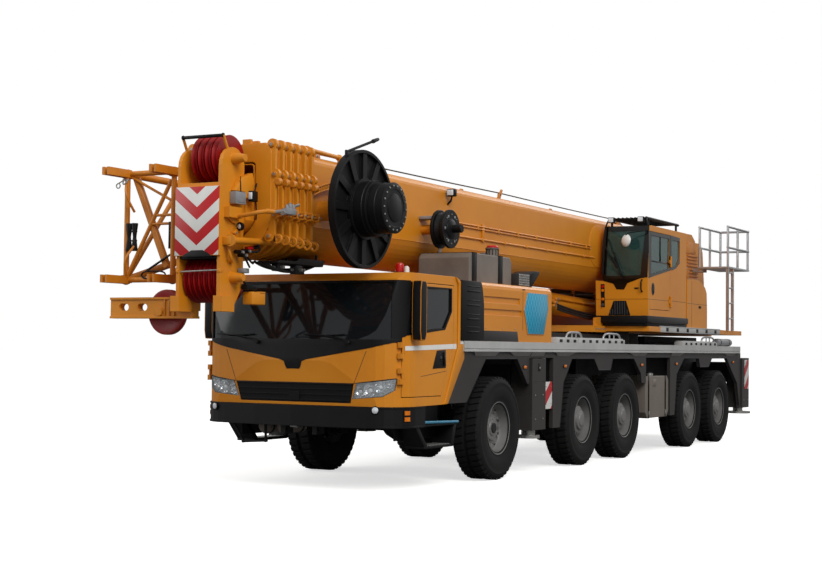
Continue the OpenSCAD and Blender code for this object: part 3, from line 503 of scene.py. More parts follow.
def addSkin(mesh, lower, upper, off, thick, index=0, step=40.0):
    # a sheet on the cab's skin between two (along, z) edges
    before = set(mesh.faces)
    start, end = lower[0][0], lower[-1][0]
    count = max(2, round((end - start) / step))
    runs = {start + (end - start) * i / count for i in range(count + 1)}
    runs |= {point[0] for point in lower + upper if start < point[0] < end}
    columns = sorted(runs)
    rows = max(2, round(max(lineAt(upper, a) - lineAt(lower, a) for a in columns) / 45))
    layers = []
    for depth in (off, off - thick):
        grid = []
        for a in columns:
            low, high = lineAt(lower, a), lineAt(upper, a)
            grid.append([mesh.verts.new(at(*cabSkin(a, low + (high - low) * r / rows, depth)))
                         for r in range(rows + 1)])
        for left, right in zip(grid, grid[1:]):
            for r in range(rows):
                mesh.faces.new((left[r], right[r], right[r + 1], left[r + 1]))
        layers.append(grid)
    outer, inner = layers
    rims = [([c[0] for c in outer], [c[0] for c in inner]), ([c[-1] for c in outer], [c[-1] for c in inner]),
            (outer[0], inner[0]), (outer[-1], inner[-1])]
    for top, under in rims:
        for i in range(len(top) - 1):
            mesh.faces.new((top[i], top[i + 1], under[i + 1], under[i]))
    bmesh.ops.recalc_face_normals(mesh, faces=newFaces(mesh, before, index))


def addSkinRing(mesh, outline, off, depth, wide, index=0):
    # a lip along a closed (along, z) outline on the skin, wide towards its middle
    before = set(mesh.faces)
    middle = [sum(p[k] for p in outline) / len(outline) for k in (0, 1)]
    points = []
    for a, b in zip(outline, outline[1:] + outline[:1]):
        steps = max(1, round(math.dist(a, b) / 30))
        points += [(a[0] + (b[0] - a[0]) * i / steps, a[1] + (b[1] - a[1]) * i / steps) for i in range(steps)]
    rings = []
    for point in points:
        span = math.dist(point, middle)
        inward = [p + (m - p) * wide / span for p, m in zip(point, middle)]
        ring = [(point, off), (point, off - depth), (inward, off - depth), (inward, off)]
        rings.append([mesh.verts.new(at(*cabSkin(p[0], p[1], o))) for p, o in ring])
    for first, second in zip(rings, rings[1:] + rings[:1]):
        for i in range(4):
            mesh.faces.new((first[i], second[i], second[(i + 1) % 4], first[(i + 1) % 4]))
    bmesh.ops.recalc_face_normals(mesh, faces=newFaces(mesh, before, index))


def mirrorRuns(points):
    return [(-a, z) for a, z in reversed(points)]


# Black band below the windscreen with a bare badge notch, A-pillar covers and header strip
frontBand = {
    "edge": [(0, 1356), (84, 1356), (104, 1392), (118, 1440), (180, 1462), (920, 1585), (1262, 1674)],
    "top": 1688, "header": (2316, 2342), "off": 4, "thick": 9,
}
bandMesh = bmesh.new()
halfEdge = [(alongAt(x), z) for x, z in frontBand["edge"]]
bandLow = mirrorRuns(halfEdge[1:]) + halfEdge
addSkin(bandMesh, bandLow, [(bandLow[0][0], frontBand["top"]), (bandLow[-1][0], frontBand["top"])],
        frontBand["off"], frontBand["thick"], 0, 30.0)
pillarLow = [(alongAt(1190), 1655), (alongSide(-2342), 1655), (alongSide(-2236), 2326)]
pillarHigh = [(pillarLow[0][0], 2342), (pillarLow[-1][0], 2342)]
for low, high in ((pillarLow, pillarHigh), (mirrorRuns(pillarLow), mirrorRuns(pillarHigh))):
    addSkin(bandMesh, low, high, frontBand["off"], frontBand["thick"], 0, 20.0)
header = alongAt(1200)
addSkin(bandMesh, [(-header, frontBand["header"][0]), (header, frontBand["header"][0])],
        [(-header, frontBand["header"][1]), (header, frontBand["header"][1])], frontBand["off"],
        frontBand["thick"])
finishPiece("cab_front_band", bandMesh, blackPlastic, "carrier")

# Panel joints of the front: thin dark gaskets either side and along the band
seamMesh = bmesh.new()
for side in (-1, 1):
    runs = [(alongAt(side * (789 + 141 * i / 8)), 1216 + 346 * i / 8) for i in range(9)]
    addHose(seamMesh, [cabSkin(a, z, -0.5) for a, z in runs], 3.2)
    frontSeam = [(alongAt(side * 782), 1204), (alongAt(side * 1236), 1266)]
    addHose(seamMesh, [cabSkin(frontSeam[0][0] + (frontSeam[1][0] - frontSeam[0][0]) * i / 8,
                               1206 + 60 * i / 8, -0.5) for i in range(9)], 3.2)
addHose(seamMesh, [cabSkin(a, 1204, -0.5) for a in range(-780, 781, 120)], 3.2)
finishPiece("cab_front_gaskets", seamMesh, hoseRubber, "carrier")
print("cab band built")

# Headlamps: metallised bowls and a projector in a dark pocket behind a clear cover
lampSetUp = {
    "outline": [(752, 1033), (1116, 1066), (1223, 1136), (1237, 1258), (812, 1205)],
    "bowls": [(838, 1116, 62), (968, 1132, 72), (1094, 1168, 62), (1180, 1200, 34)], "cover": 3,
}
clearCover = startMaterial("clear_moulded_cover", Alpha=0.16, Roughness=0.06, IOR=1.49)
coverNoise = addNode(clearCover[1], "ShaderNodeTexNoise", {"Scale": 90.0, "Detail": 2.0},
                     {"Vector": clearCover[3]})
coverTone = addNode(clearCover[1], "ShaderNodeValToRGB", links={"Fac": coverNoise.outputs["Fac"]})
coverTone.color_ramp.elements[0].color = linear("#d9e0e4")
coverTone.color_ramp.elements[1].color = linear("#eef2f4")
clearCover[1].links.new(coverTone.outputs["Color"], clearCover[2].inputs["Base Color"])
lampMesh = bmesh.new()
for side in (-1, 1):
    outline = [(alongAt(x), z) for x, z in lampSetUp["outline"]]
    lower = [outline[0], outline[1], outline[2], (outline[3][0], outline[3][1] - 2)]
    upper = [(outline[0][0], outline[0][1] + 2), outline[4], outline[3]]
    ring = outline
    if side < 0:
        lower, upper, ring = mirrorRuns(lower), mirrorRuns(upper), mirrorRuns(outline)
    addSkin(lampMesh, lower, upper, 2, lampSetUp["cover"], 2)
    addSkin(lampMesh, lower, upper, -62, 6, 3)
    addSkinRing(lampMesh, ring, 1, 66, 5, 3)
    # stepped metallised shelves between the bowls
    for k in range(5):
        share = (k + 0.5) / 5
        shelfLow = [(a, lineAt(lower, a) + (lineAt(upper, a) - lineAt(lower, a)) * share) for a, z in lower]
        shelfHigh = [(a, z + 9) for a, z in shelfLow]
        addSkin(lampMesh, shelfLow, shelfHigh, -34 - 5 * (k % 2), 16, 0)
    for x, z, radius in lampSetUp["bowls"]:
        centre = cabSkin(alongAt(side * x), z, -58)
        front = cabSkin(alongAt(side * x), z, 0)
        facing = Vector(front) - Vector(centre)
        profile = [(0.1, 0), (radius * 0.35, 1), (radius * 0.7, 12), (radius * 0.92, 30), (radius, 44),
                   (radius + 4, 44),
                   (radius + 4, -2), (0.1, -2)]
        addLathe(lampMesh, profile, centre, facing, 32, 0)
        addLathe(lampMesh, [(0.1, 30), (radius * 0.2, 28), (radius * 0.34, 20), (radius * 0.36, 2),
                            (0.1, 2)], centre,
                 facing, 20, 1)
finishPiece("headlamps_dressed", lampMesh, (lampChrome, frostLens, clearCover[0], blackLacquer), "carrier",
            ("headlamps",))
print("headlamps built")

# Grille louvres, fog lamps, wipers, roof beacon and the gear under the bumper
cabTrim = {
    "louvres": (1003, 1064, 1124, 1184), "fog": [(1045, 918), (-1075, 905)], "beacon": (990, -1900),
    "wipers": [(-1080, -420), (120, 780)], "hoop": [(-892, 740), (-892, 712), (-762, 506), (-452, 524),
                                                    (-462, 720)],
}
trimMesh = bmesh.new()
for z in cabTrim["louvres"]:
    reach = 722 + (z - 985) * 0.22
    addSkin(trimMesh, [(-reach, z), (reach, z)], [(-reach, z + 15), (reach, z + 15)], 8, 22, 0)
    addSkin(trimMesh, [(-reach, z + 3), (reach, z + 3)], [(-reach, z + 7), (reach, z + 7)], 10, 6, 1)
addSkin(trimMesh, [(-70, 1000), (70, 1000)], [(-70, 1100), (70, 1100)], 12, 20, 0)
# bumper: upper lip, centre cover and lower spoiler edge
for low, high, off in ((936, 954, 14), (722, 742, 16)):
    reach = alongSide(-1960)
    addSkin(trimMesh, [(-reach, low), (reach, low)], [(-reach, high), (reach, high)], off, 16, 0)
addSkin(trimMesh, [(-640, 770), (640, 770)], [(-640, 915), (640, 915)], 13, 10, 0)
for k in range(3):
    addSkin(trimMesh, [(-600, 795 + 38 * k), (600, 795 + 38 * k)],
            [(-600, 803 + 38 * k), (600, 803 + 38 * k)], 16, 6, 1)
finishPiece("cab_grille_louvres", trimMesh, (blackPlastic, blackLacquer), "carrier")

fogMesh = bmesh.new()
for x, z in cabTrim["fog"]:
    seat = cabSkin(alongAt(x), z, 4)
    facing = Vector(cabSkin(alongAt(x), z, 40)) - Vector(seat)
    addLathe(fogMesh, [(0.1, 0), (44, 0), (46, 20), (40, 26), (37, 20), (0.1, 20)], seat, facing, 28, 1)
    addLathe(fogMesh, [(0.1, 18), (36, 18), (34, 30), (20, 37), (0.1, 39)], seat, facing, 28, 0)
finishPiece("fog_lamps", fogMesh, (frostLens, blackLacquer), "carrier")

wiperMesh = bmesh.new()
for start, end in cabTrim["wipers"]:
    pivot = cabSkin(end - 60, 1652, 12)
    addLathe(wiperMesh, [(0.1, 0), (24, 0), (22, 22), (12, 30), (0.1, 30)], pivot, (0, -1, 0), 16)
    blade = [cabSkin(start + (end - start - 120) * i / 6, 1742 - 14 * math.sin(math.pi * i / 6), 16)
             for i in range(7)]
    addHose(wiperMesh, blade, 7)
    middle = cabSkin((start + end - 120) / 2, 1728, 26)
    knee = cabSkin(end - 130, 1690, 30)
    addTube(wiperMesh, (pivot[0], pivot[1] - 20, pivot[2]), knee, 11, 10, 9)
    addTube(wiperMesh, knee, middle, 9, 10, 6)
finishPiece("cab_wipers", wiperMesh, blackPlastic, "carrier")

beaconMesh = bmesh.new()
bx, by = cabTrim["beacon"]
addLathe(beaconMesh, [(0.1, 0), (62, 0), (62, 14), (54, 26), (0.1, 26)], (bx, by, 2430), (0, 0, 1), 28, 1)
addLathe(beaconMesh, [(0.1, 24), (50, 24), (52, 90), (44, 118), (24, 130), (0.1, 132)], (bx, by, 2430),
         (0, 0, 1), 28, 0)
addLathe(beaconMesh, [(0.1, 0), (30, 0), (30, 58), (26, 80), (12, 90), (0.1, 91)], (bx + 96, by - 10, 2430),
         (0, 0, 1), 24, 2)
addBox(beaconMesh, (bx - 80, by - 60, 2428), (bx + 140, by + 60, 2436), 3, 3)
finishPiece("roof_beacon", beaconMesh, (redLens, blackPlastic, markWhite, orangeEnamel), "carrier")

underMesh = bmesh.new()
addHose(underMesh, [(x, -2400, z) for x, z in cabTrim["hoop"]], 17, 0, False)
for x, z in cabTrim["hoop"][1:4]:
    addTube(underMesh, (x, -2417, z), (x, -2383, z), 17, 12)
for x, radius in ((-513, 88), (-268, 80)):
    profile = [(0.1, -8), (radius * 0.5, -4), (radius * 0.85, 10), (radius, 34), (radius, 420), (0.1, 430)]
    addLathe(underMesh, profile, (x, -2360, 690), (0, 1, 0), 32, 1)
    for step in (70, 330):
        addLathe(underMesh, [(radius, step), (radius + 5, step), (radius + 5, step + 32),
                             (radius, step + 32)],
                 (x, -2360, 690), (0, 1, 0), 32, 0)
addTube(underMesh, (-415, -2410, 778), (-17, -2410, 694), 9, 10, None, 2)
addBox(underMesh, (-112, -2425, 694), (-24, -2413, 788), 3, 2)
addBox(underMesh, (-700, -2330, 700), (700, -1700, 730), 6, 0)
finishPiece("front_underside_gear", underMesh, (blackPlastic, tankGrey, zincSteel), "carrier")
print("cab trim built")

# Doors' own trim: window frame, stripe, handle and a dark line of painted shade along the crease, mirrored to
# the right door
doorTrim = {
    "pane": [(-2290, 1740), (-1440, 1822), (-1275, 2024), (-1275, 2285), (-2210, 2285)],
    "stripe": [(-2300, 1571, 1619), (-1219, 1594, 1652)], "rest": [(-1211, 1594, 1652), (-1136, 1596, 1655)],
    "handle": [(-1625, 1574), (-1412, 1584), (-1407, 1378), (-1725, 1370)],
}
for sideName, side in (("left", 1), ("right", -1)):
    body = "cab_door_" + sideName

    def onSide(points):
        runs = [(alongSide(y), z) for y, z in points]
        return runs if side > 0 else mirrorRuns(runs)

    doorMesh = bmesh.new()
    paneLow = onSide([(-2336, 1714), (-2290, 1728), (-2208, 2276)])
    paneHigh = onSide([(-2336, 1756), (-2226, 2322), (-2208, 2322)])
    addSkin(doorMesh, paneLow, paneHigh, 4, 9, 0, 12.0)
    ring = [(alongSide(y), z) for y, z in doorTrim["pane"]]
    grown = []
    middle = [sum(p[k] for p in ring) / len(ring) for k in (0, 1)]
    for point in ring:
        span = math.dist(point, middle)
        grown.append(tuple(p + (p - m) * 14 / span for p, m in zip(point, middle)))
    addSkinRing(doorMesh, grown if side > 0 else mirrorRuns(grown), 4, 12, 26, 0)
    faceLow, faceHigh = (1327, 1337) if side > 0 else (-1337, -1327)
    addPlate(doorMesh, doorTrim["handle"], "x", faceLow, faceHigh, 4, 0)
    grip = [(-1476, 1562), (-1436, 1564), (-1430, 1398), (-1470, 1396)]
    addPlate(doorMesh, grip, "x", side * 1336, side * 1352, 6, 1)
    addBox(doorMesh, (side * 1334, -1560, 1452), (side * 1340, -1500, 1512), 3, 1)
    # a thin dark line sunk along the door's crease: painted shade of the crease
    creaseShadeLine = [(-2320, 1263), (-2100, 1276), (-1800, 1303), (-1380, 1342)]
    addHose(doorMesh, [cabSkin(side * alongSide(y), z, -0.6) for y, z in creaseShadeLine], 3.0, 2)
    finishPiece(body + "_frame", doorMesh, (blackPlastic, blackLacquer, hoseRubber), body)

    stripeMesh = bmesh.new()
    low = onSide([(y, a) for y, a, b in doorTrim["stripe"]])
    high = onSide([(y, b) for y, a, b in doorTrim["stripe"]])
    addSkin(stripeMesh, low, high, 1.6, 2)
    finishPiece(body + "_stripe", stripeMesh, markWhite, body)
    restMesh = bmesh.new()
    low = onSide([(y, a) for y, a, b in doorTrim["rest"]])
    high = onSide([(y, b) for y, a, b in doorTrim["rest"]])
    addSkin(restMesh, low, high, 1.6, 2)
    finishPiece("cab_stripe_" + sideName, restMesh, markWhite, "carrier")

    stepMesh = bmesh.new()
    inner, outer = sorted((side * 1020, side * 1276))
    addPlate(stepMesh, [(-2062, 766), (-1980, 766), (-1716, 492), (-1800, 492)], "x", inner, outer, 4)
    addPlate(stepMesh, [(-1064, 726), (-1004, 726), (-1080, 470), (-1140, 470)], "x", inner, outer, 4)
    addBox(stepMesh, (inner, -1800, 466), (outer, -1090, 496), 5)
    addBox(stepMesh, (inner, -2040, 716), (outer, -1010, 742), 5)
    back = sorted((side * 1020, side * 1038))
    addBox(stepMesh, (back[0], -2060, 560), (back[1], -1030, 960), 3)
    for k in range(9):
        addBox(stepMesh, (inner + 20, -1780 + 76 * k, 494), (outer - 20, -1752 + 76 * k, 502), 2, 1)
    addTube(stepMesh, (side * 1284, -2030, 772), (side * 1284, -992, 748), 17, 16, None, 2)
    for y, z in ((-1990, 770), (-1030, 749)):
        addTube(stepMesh, (side * 1284, y, z), (side * 1230, y, z - 30), 12, 12, None, 1)
    for z in (866, 798):
        lens = onSide([(-2306, z), (-2238, z)])
        addSkin(stepMesh, lens, [(a, b + 46) for a, b in lens], 20, 16, 3)
        rim = onSide([(-2316, z - 8), (-2228, z - 8)])
        addSkin(stepMesh, rim, [(a, b + 62) for a, b in rim], 12, 8, 0)
    finishPiece("cab_step_" + sideName, stepMesh, (blackPlastic, zincSteel, blueEnamel, amberLens),
                "carrier")
print("door trim built")

# Mirror heads on the two doors: moulded housing with a rim, glass facing the rear
mirrorSet = {
    "low": 1343, "high": 1457,
    "outline": [(-2233, 1682), (-2133, 1682), (-2107, 1758), (-2107, 2292), (-2133, 2343), (-2233, 2343),
                (-2253, 2241), (-2253, 1784)],
}
for side, sign in (("left", 1), ("right", -1)):
    housing = bmesh.new()
    reach = sorted((sign * mirrorSet["low"], sign * mirrorSet["high"]))
    addPlate(housing, mirrorSet["outline"], "x", reach[0], reach[1], 18, 0, 4)
    addBox(housing, (reach[0] + 6, -2112, 1772), (reach[1] - 6, -2096, 2276), 6)
    for z in (1712, 2307):
        addTube(housing, (sign * 1290, -2170, z), (sign * 1352, -2170, z), 17, 16, None, 0, 3)
        addTube(housing, (sign * 1336, -2170, z - 22), (sign * 1336, -2170, z + 22), 24, 16, None, 0, 4)
    finishPiece("mirror_housing_" + side, housing, blackPlastic, "cab_door_" + side)
    silver = bmesh.new()
    addBox(silver, (reach[0] + 14, -2099, 2020), (reach[1] - 14, -2092, 2266), 3)
    addBox(silver, (reach[0] + 14, -2099, 1784), (reach[1] - 14, -2092, 2008), 3)
    finishPiece("mirror_glass_" + side, silver, lampChrome, "cab_door_" + side)
print("mirrors built")

# Seat cushions: a closed pad swollen by cloth pressure, once for the seat and once for the back
seatSet = {
    "seat": {"size": (440, 460, 90), "swell": 18}, "back": {"size": (420, 80, 560), "swell": 16},
    "places": {"driver_left": (700, -1720, 1055, "carrier", "interior"),
               "driver_right": (-700, -1720, 1055, "carrier", "interior"),
               "operator": (965, 6650, 2195, "superstructure", "interior")},
    "voxel": 6.0, "pressure": 4.0, "frames": 20,
}


def swellPad(label, values):
    # a rounded block, remeshed and blown up, with every point held within the swell limit
    block = bmesh.new()
    half = [side / 2000 for side in values["size"]]
    bmesh.ops.create_cube(block, size=2.0, matrix=Matrix.Diagonal((*half, 1.0)))
    bmesh.ops.bevel(block, geom=list(block.edges), offset=min(half) * 0.7, affect="EDGES", segments=3,
                    profile=0.5)
    data = bpy.data.meshes.new(label)
    block.to_mesh(data)
    block.free()
    pad = bpy.data.objects.new(label, data)
    scene.collection.objects.link(pad)
    remesh = pad.modifiers.new("voxels", "REMESH")
    remesh.mode = "VOXEL"
    remesh.voxel_size = seatSet["voxel"] / 1000
    solid = bpy.data.meshes.new_from_object(pad.evaluated_get(bpy.context.evaluated_depsgraph_get()))
    pad.modifiers.clear()
    pad.data = solid
    start = [vert.co.copy() for vert in solid.vertices]
    cloth = pad.modifiers.new("cloth", "CLOTH")
    cloth.settings.use_pressure = True
    cloth.settings.uniform_pressure_force = seatSet["pressure"]
    cloth.settings.effector_weights.gravity = 0.0
    cloth.settings.quality = 4
    for step in range(1, seatSet["frames"] + 1):
        scene.frame_set(step)
    blown = bpy.data.meshes.new_from_object(pad.evaluated_get(bpy.context.evaluated_depsgraph_get()))
    scene.frame_set(1)
    limit = values["swell"] / 1000
    for vert, rest in zip(blown.vertices, start):
        move = vert.co - rest
        if move.length > limit:
            vert.co = rest + move.normalized() * limit
    bpy.data.objects.remove(pad)
    return blown


def sewPad(name, shape, spot, tilt, body):
    shape = shape.copy()
    shape.name = name
    shape.transform(Matrix.Translation(at(*spot)) @ Matrix.Rotation(math.radians(tilt), 4, "X"))
    shape.materials.append(seatCloth)
    shape.shade_smooth()
    pad = bpy.data.objects.new(name, shape)
    scene.collection.objects.link(pad)
    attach(pad, body)


padShapes = {}
for label in ("seat", "back"):
    padShapes[label] = swellPad("pad_" + label, seatSet[label])
for place, (x, y, z, body, slotName) in seatSet["places"].items():
    sewPad(place + "_seat_pad", padShapes["seat"], (x, y - 15, z + 395), 0, body)
    sewPad(place + "_back_pad", padShapes["back"], (x, y + 222, z + 690), -6.5, body)
print("seat pads swollen")

# Boom head: striped plate, lamp and electric boxes, rods and hoses at the side
headTrim = {
    "plate": (275, 2515, 3213), "face": -4371, "rise": 0.78, "band": 0.26, "start": 2.614,
    "collars": [("boom_base", -3100), ("boom_section_2", -3240), ("boom_section_3", -3380),
                ("boom_section_4", -3520),
                ("boom_section_5", -3660), ("boom_section_6", -3800)],
}


def stripedSheet(name, rise, band, start, upright):
    # retro-reflective sheeting in red and white: V bands when upright is Z, slanting bands otherwise
    material, tree, principled, place = startMaterial(name, Roughness=0.34)
    parts = addNode(tree, "ShaderNodeSeparateXYZ", links={"Vector": place})
    across = addNode(tree, "ShaderNodeMath", {"operation": "ABSOLUTE"}, {0: parts.outputs["X"]}).outputs[0]
    if not upright:
        across = parts.outputs["Y"]
    lean = addNode(tree, "ShaderNodeMath", {"operation": "MULTIPLY", 1: rise}, {0: across})
    level = addNode(tree, "ShaderNodeMath", {"operation": "SUBTRACT"},
                    {0: parts.outputs["Z"], 1: lean.outputs[0]})
    shifted = addNode(tree, "ShaderNodeMath", {"operation": "SUBTRACT", 1: start}, {0: level.outputs[0]})
    turns = addNode(tree, "ShaderNodeMath", {"operation": "DIVIDE", 1: band}, {0: shifted.outputs[0]})
    share = addNode(tree, "ShaderNodeMath", {"operation": "FRACT"}, {0: turns.outputs[0]})
    second = addNode(tree, "ShaderNodeMath", {"operation": "GREATER_THAN", 1: 0.5}, {0: share.outputs[0]})
    film = addNode(tree, "ShaderNodeTexNoise", {"Scale": 7.0, "Detail": 4.0}, {"Vector": place})
    tones = []
    for dark, light in (("#b01318", "#c5181d"), ("#d3d2cd", "#e6e5e1")):
        tone = addNode(tree, "ShaderNodeValToRGB", links={"Fac": film.outputs["Fac"]})
        tone.color_ramp.elements[0].color = linear(dark)
        tone.color_ramp.elements[1].color = linear(light)
        tones.append(tone.outputs["Color"])
    mix = addNode(tree, "ShaderNodeMix", {"data_type": "RGBA"}, {"Factor": second.outputs[0]})
    tree.links.new(tones[0], mix.inputs["A"])
    tree.links.new(tones[1], mix.inputs["B"])
    tree.links.new(mix.outputs["Result"], principled.inputs["Base Color"])
    grain = addNode(tree, "ShaderNodeTexVoronoi", {"Scale": 420.0}, {"Vector": place})
    relief = addNode(tree, "ShaderNodeBump", {"Strength": 0.08, "Distance": 0.0004},
                     {"Height": grain.outputs["Distance"]})
    tree.links.new(relief.outputs["Normal"], principled.inputs["Normal"])
    return material


chevronSheet = stripedSheet("chevron_reflective_sheeting", headTrim["rise"], headTrim["band"],
                            headTrim["start"], True)
sheetMesh = bmesh.new()
half, low, high = headTrim["plate"]
face = headTrim["face"]
addPlate(sheetMesh, [(-half, low), (half, low), (half, high), (-half, high)], "y", face, face + 4, 1)
finishPiece("head_chevron_sheet", sheetMesh, chevronSheet, "boom_head")

headMesh = bmesh.new()
# dark bracket under the sheet
addPlate(headMesh, [(-190, 2500), (190, 2500), (150, 2535), (80, 2566), (-60, 2566), (-130, 2535)], "y",
         face - 3, face + 6, 1, 0)
addBox(headMesh, (-232, -4330, 2480), (232, -4200, 2520), 4, 0)
# pale rod across the lower sheaves, with its two clips
addTube(headMesh, (-270, -4322, 2352), (270, -4322, 2366), 8, 12, None, 1)
for x in (-262, 262):
    addBox(headMesh, (x - 16, -4345, 2338), (x + 16, -4290, 2378), 4, 2)
# electric box, lamp hood, camera and whip on the left plate
addBox(headMesh, (276, -4196, 3048), (362, -4022, 3172), 8, 3)
addBox(headMesh, (276, -4190, 3044), (366, -4028, 3052), 2, 1)
addBox(headMesh, (360, -4180, 3062), (366, -4040, 3158), 2, 3)
addPlate(headMesh, [(-4186, 3178), (-4080, 3316), (-3888, 3390), (-3820, 3214), (-3830, 3120),
                    (-4010, 3120), (-4014, 3178)],
         "x", 276, 344, 8, 2)
addBox(headMesh, (344, -3966, 3086), (402, -3870, 3196), 8, 0)
addBox(headMesh, (352, -3978, 3108), (396, -3962, 3180), 5, 4)
addTube(headMesh, (350, -4104, 3170), (350, -4116, 3330), 6, 8, 4, 0)
addHose(headMesh, [(380, -3900, 3196), (384, -3880, 3260), (372, -3850, 3290), (330, -3836, 3240)], 8, 0)
addHose(headMesh, [(380, -3880, 3086), (386, -3866, 3000), (380, -3872, 2900)], 8, 0)
# working lamp on its arm
addTube(headMesh, (276, -4230, 2930), (300, -4110, 2850), 12, 10, None, 2)
addLathe(headMesh, [(0.1, 40), (40, 36), (46, 10), (46, 0), (38, 0), (34, 14), (0.1, 14)],
         (312, -4070, 2822), (0.3, 1, 0), 24, 0)
addLathe(headMesh, [(0.1, 0), (26, 0), (20, 8), (0.1, 10)], (312, -4068, 2822), (-0.3, -1, 0), 24, 4)
# brackets and pins between the two rods
addPlate(headMesh, [(-4250, 2980), (-4140, 3004), (-4060, 2960), (-4060, 2880), (-4150, 2850),
                    (-4250, 2900)], "x", 276, 300, 4, 2)
addPlate(headMesh, [(-4200, 2720), (-4100, 2790), (-4030, 2790), (-4050, 2690)], "x", 276, 296, 4, 2)
for y, z in ((-4190, 2950), (-4110, 2920), (-4150, 2750)):
    addTube(headMesh, (276, y, z), (334, y, z), 20, 16, None, 2, 3)
    addTube(headMesh, (330, y, z), (340, y, z), 11, 6, None, 1)
# lower stay rod with its flange, and the bent pipe behind it
addTube(headMesh, (368, -4286, 2662), (368, -3560, 2694), 38, 24, 32, 2)
addLathe(headMesh, [(0.1, 0), (62, 0), (62, 22), (40, 34), (0.1, 34)], (368, -4300, 2662), (0, 1, 0), 24, 2)
addBox(headMesh, (276, -4306, 2618), (374, -4262, 2704), 8, 2)
addTube(headMesh, (368, -3574, 2694), (368, -3500, 2698), 44, 24, None, 2, 4)
addHose(headMesh, [(300, -4250, 2650), (330, -4262, 2560), (330, -4230, 2480), (300, -4170, 2450),
                   (276, -4150, 2450)], 16, 2)
# hose couplings, hoses and the hanging switch box
for k, (y, z) in enumerate(((-4120, 2560), (-4060, 2530), (-4000, 2575))):
    addTube(headMesh, (300, y, z), (392, y, z - 6), 22, 12, None, 0)
    addTube(headMesh, (390, y, z - 6), (412, y, z - 6), 15, 6, None, 1)
addTube(headMesh, (330, -3960, 2600), (330, -3870, 2612), 24, 14, None, 5)
addTube(headMesh, (330, -3870, 2612), (330, -3760, 2630), 19, 14, None, 0)
addHose(headMesh, [(396, -4120, 2550), (420, -4060, 2440), (390, -3980, 2400), (340, -3920, 2420)], 11, 0)
addHose(headMesh, [(396, -4060, 2524), (410, -4010, 2470), (380, -3900, 2440), (330, -3840, 2470)], 11, 0)
addHose(headMesh, [(396, -4000, 2568), (430, -3920, 2560), (430, -3840, 2600), (380, -3830, 2650)], 11, 0)
addBox(headMesh, (284, -4050, 2346), (372, -3960, 2396), 8, 3)
addHose(headMesh, [(320, -4000, 2346), (326, -4010, 2280), (330, -3960, 2230), (330, -3900, 2190)], 12, 0)
addBox(headMesh, (290, -3990, 2180), (372, -3820, 2236), 8, 0)
addTube(headMesh, (330, -3870, 2186), (330, -3820, 2160), 14, 12, None, 0)
addBox(headMesh, (268, -3930, 2028), (392, -3690, 2160), 10, 2)
addBox(headMesh, (262, -3800, 2150), (398, -3700, 2164), 4, 2)
finishPiece("head_side_gear", headMesh, (blackPlastic, zincSteel, orangeEnamel, conduitGrey, frostLens,
                                         redLens), "boom_head")
print("boom head built")

# Collar gear: on each section's front collar a roller knob, a clip for the control rod and a hose ring
for number, (body, y) in enumerate(headTrim["collars"]):
    collarMesh = bmesh.new()
    for side in (-1, 1):
        for x, z, radius in ((510, 3690, 30), (550, 3380, 30), (550, 2960, 26), (490, 2740, 30)):
            if side < 0 and z < 3600:
                continue
            addTube(collarMesh, (side * x, y - 4, z), (side * x, y + 64, z), radius, 20, None, 0, 3)
            addTube(collarMesh, (side * x, y - 12, z), (side * x, y - 4, z), radius * 0.6, 6, None, 1)
        # gusset from the top lug down to the middle one
        edge = sorted((side * 484, side * 540))
        addPlate(collarMesh, [(y + 12, 3640), (y + 48, 3560), (y + 48, 3440), (y + 30, 3440)], "x", *edge,
                 3, 0)
        addPlate(collarMesh, [(y + 8, 3320), (y + 52, 3250), (y + 52, 3020), (y + 34, 3020)], "x", *edge, 3,
                 0)
    # knob roller with a ribbed rim
    profile = [(0.1, -26), (30, -26), (44, -14), (44, 14), (30, 26), (0.1, 26)]
    addLathe(collarMesh, profile, (585, y + 30, 3300), (0, 1, 0), 24, 0)
    addBox(collarMesh, (484, y + 14, 3276), (580, y + 46, 3324), 4, 0)
    # clip of the control rod
    for low, high in ((2934, 2950), (3000, 3016)):
        addBox(collarMesh, (548, y + 12, low), (652, y + 48, high), 3, 0)
    addBox(collarMesh, (640, y + 12, 2934), (654, y + 48, 3016), 3, 0)
    addTube(collarMesh, (648, y + 30, 2975), (664, y + 30, 2975), 14, 12, None, 1)
    # hose ring
    ring = [(30, -12), (50, -12), (54, 0), (50, 12), (30, 12), (30, -12)]
    drop = 8 * number
    addLathe(collarMesh, ring, (590, y + 30, 2668 + drop), (0, 1, 0), 28, 0)
    addBox(collarMesh, (470, y + 18, 2700), (566, y + 42, 2730 + drop / 2), 4, 0)
    addTube(collarMesh, (560, y + 18, 2700), (560, y + 42, 2700), 22, 12, None, 0)
    finishPiece(body + "_collar_gear", collarMesh, (orangeCasting, zincSteel), body)

# Control rod through the clips, with its plated valve block, on the head
rodMesh = bmesh.new()
addHose(rodMesh, [(300, -4140, 2920), (420, -4140, 2925), (604, -4120, 2960), (606, -4000, 2975)], 22, 0)
addTube(rodMesh, (606, -4020, 2975), (606, -3860, 2975), 26, 20, None, 0, 4)
addTube(rodMesh, (606, -3870, 2975), (606, -2960, 2975), 13, 14, None, 0)
addBox(rodMesh, (690, -3860, 2952), (764, -3690, 3014), 8, 1)
addTube(rodMesh, (606, -3880, 2975), (727, -3850, 2985), 18, 12, None, 1)
for y, z, reach in ((-3820, 3040, 20), (-3760, 3062, 24), (-3700, 3050, 18)):
    addTube(rodMesh, (727, y, 3000), (727, y, z), reach, 16, None, 1, 3)
    addTube(rodMesh, (727, y, z - 4), (727, y, z + 14), reach * 0.7, 6, None, 2)
addTube(rodMesh, (727, -3700, 3040), (727, -3600, 3070), 16, 14, None, 2)
addTube(rodMesh, (727, -3900, 2960), (727, -3850, 2966), 24, 16, 18, 2)
finishPiece("head_control_rod", rodMesh, (orangeCasting, conduitGrey, zincSteel), "boom_head")
print("collars dressed")

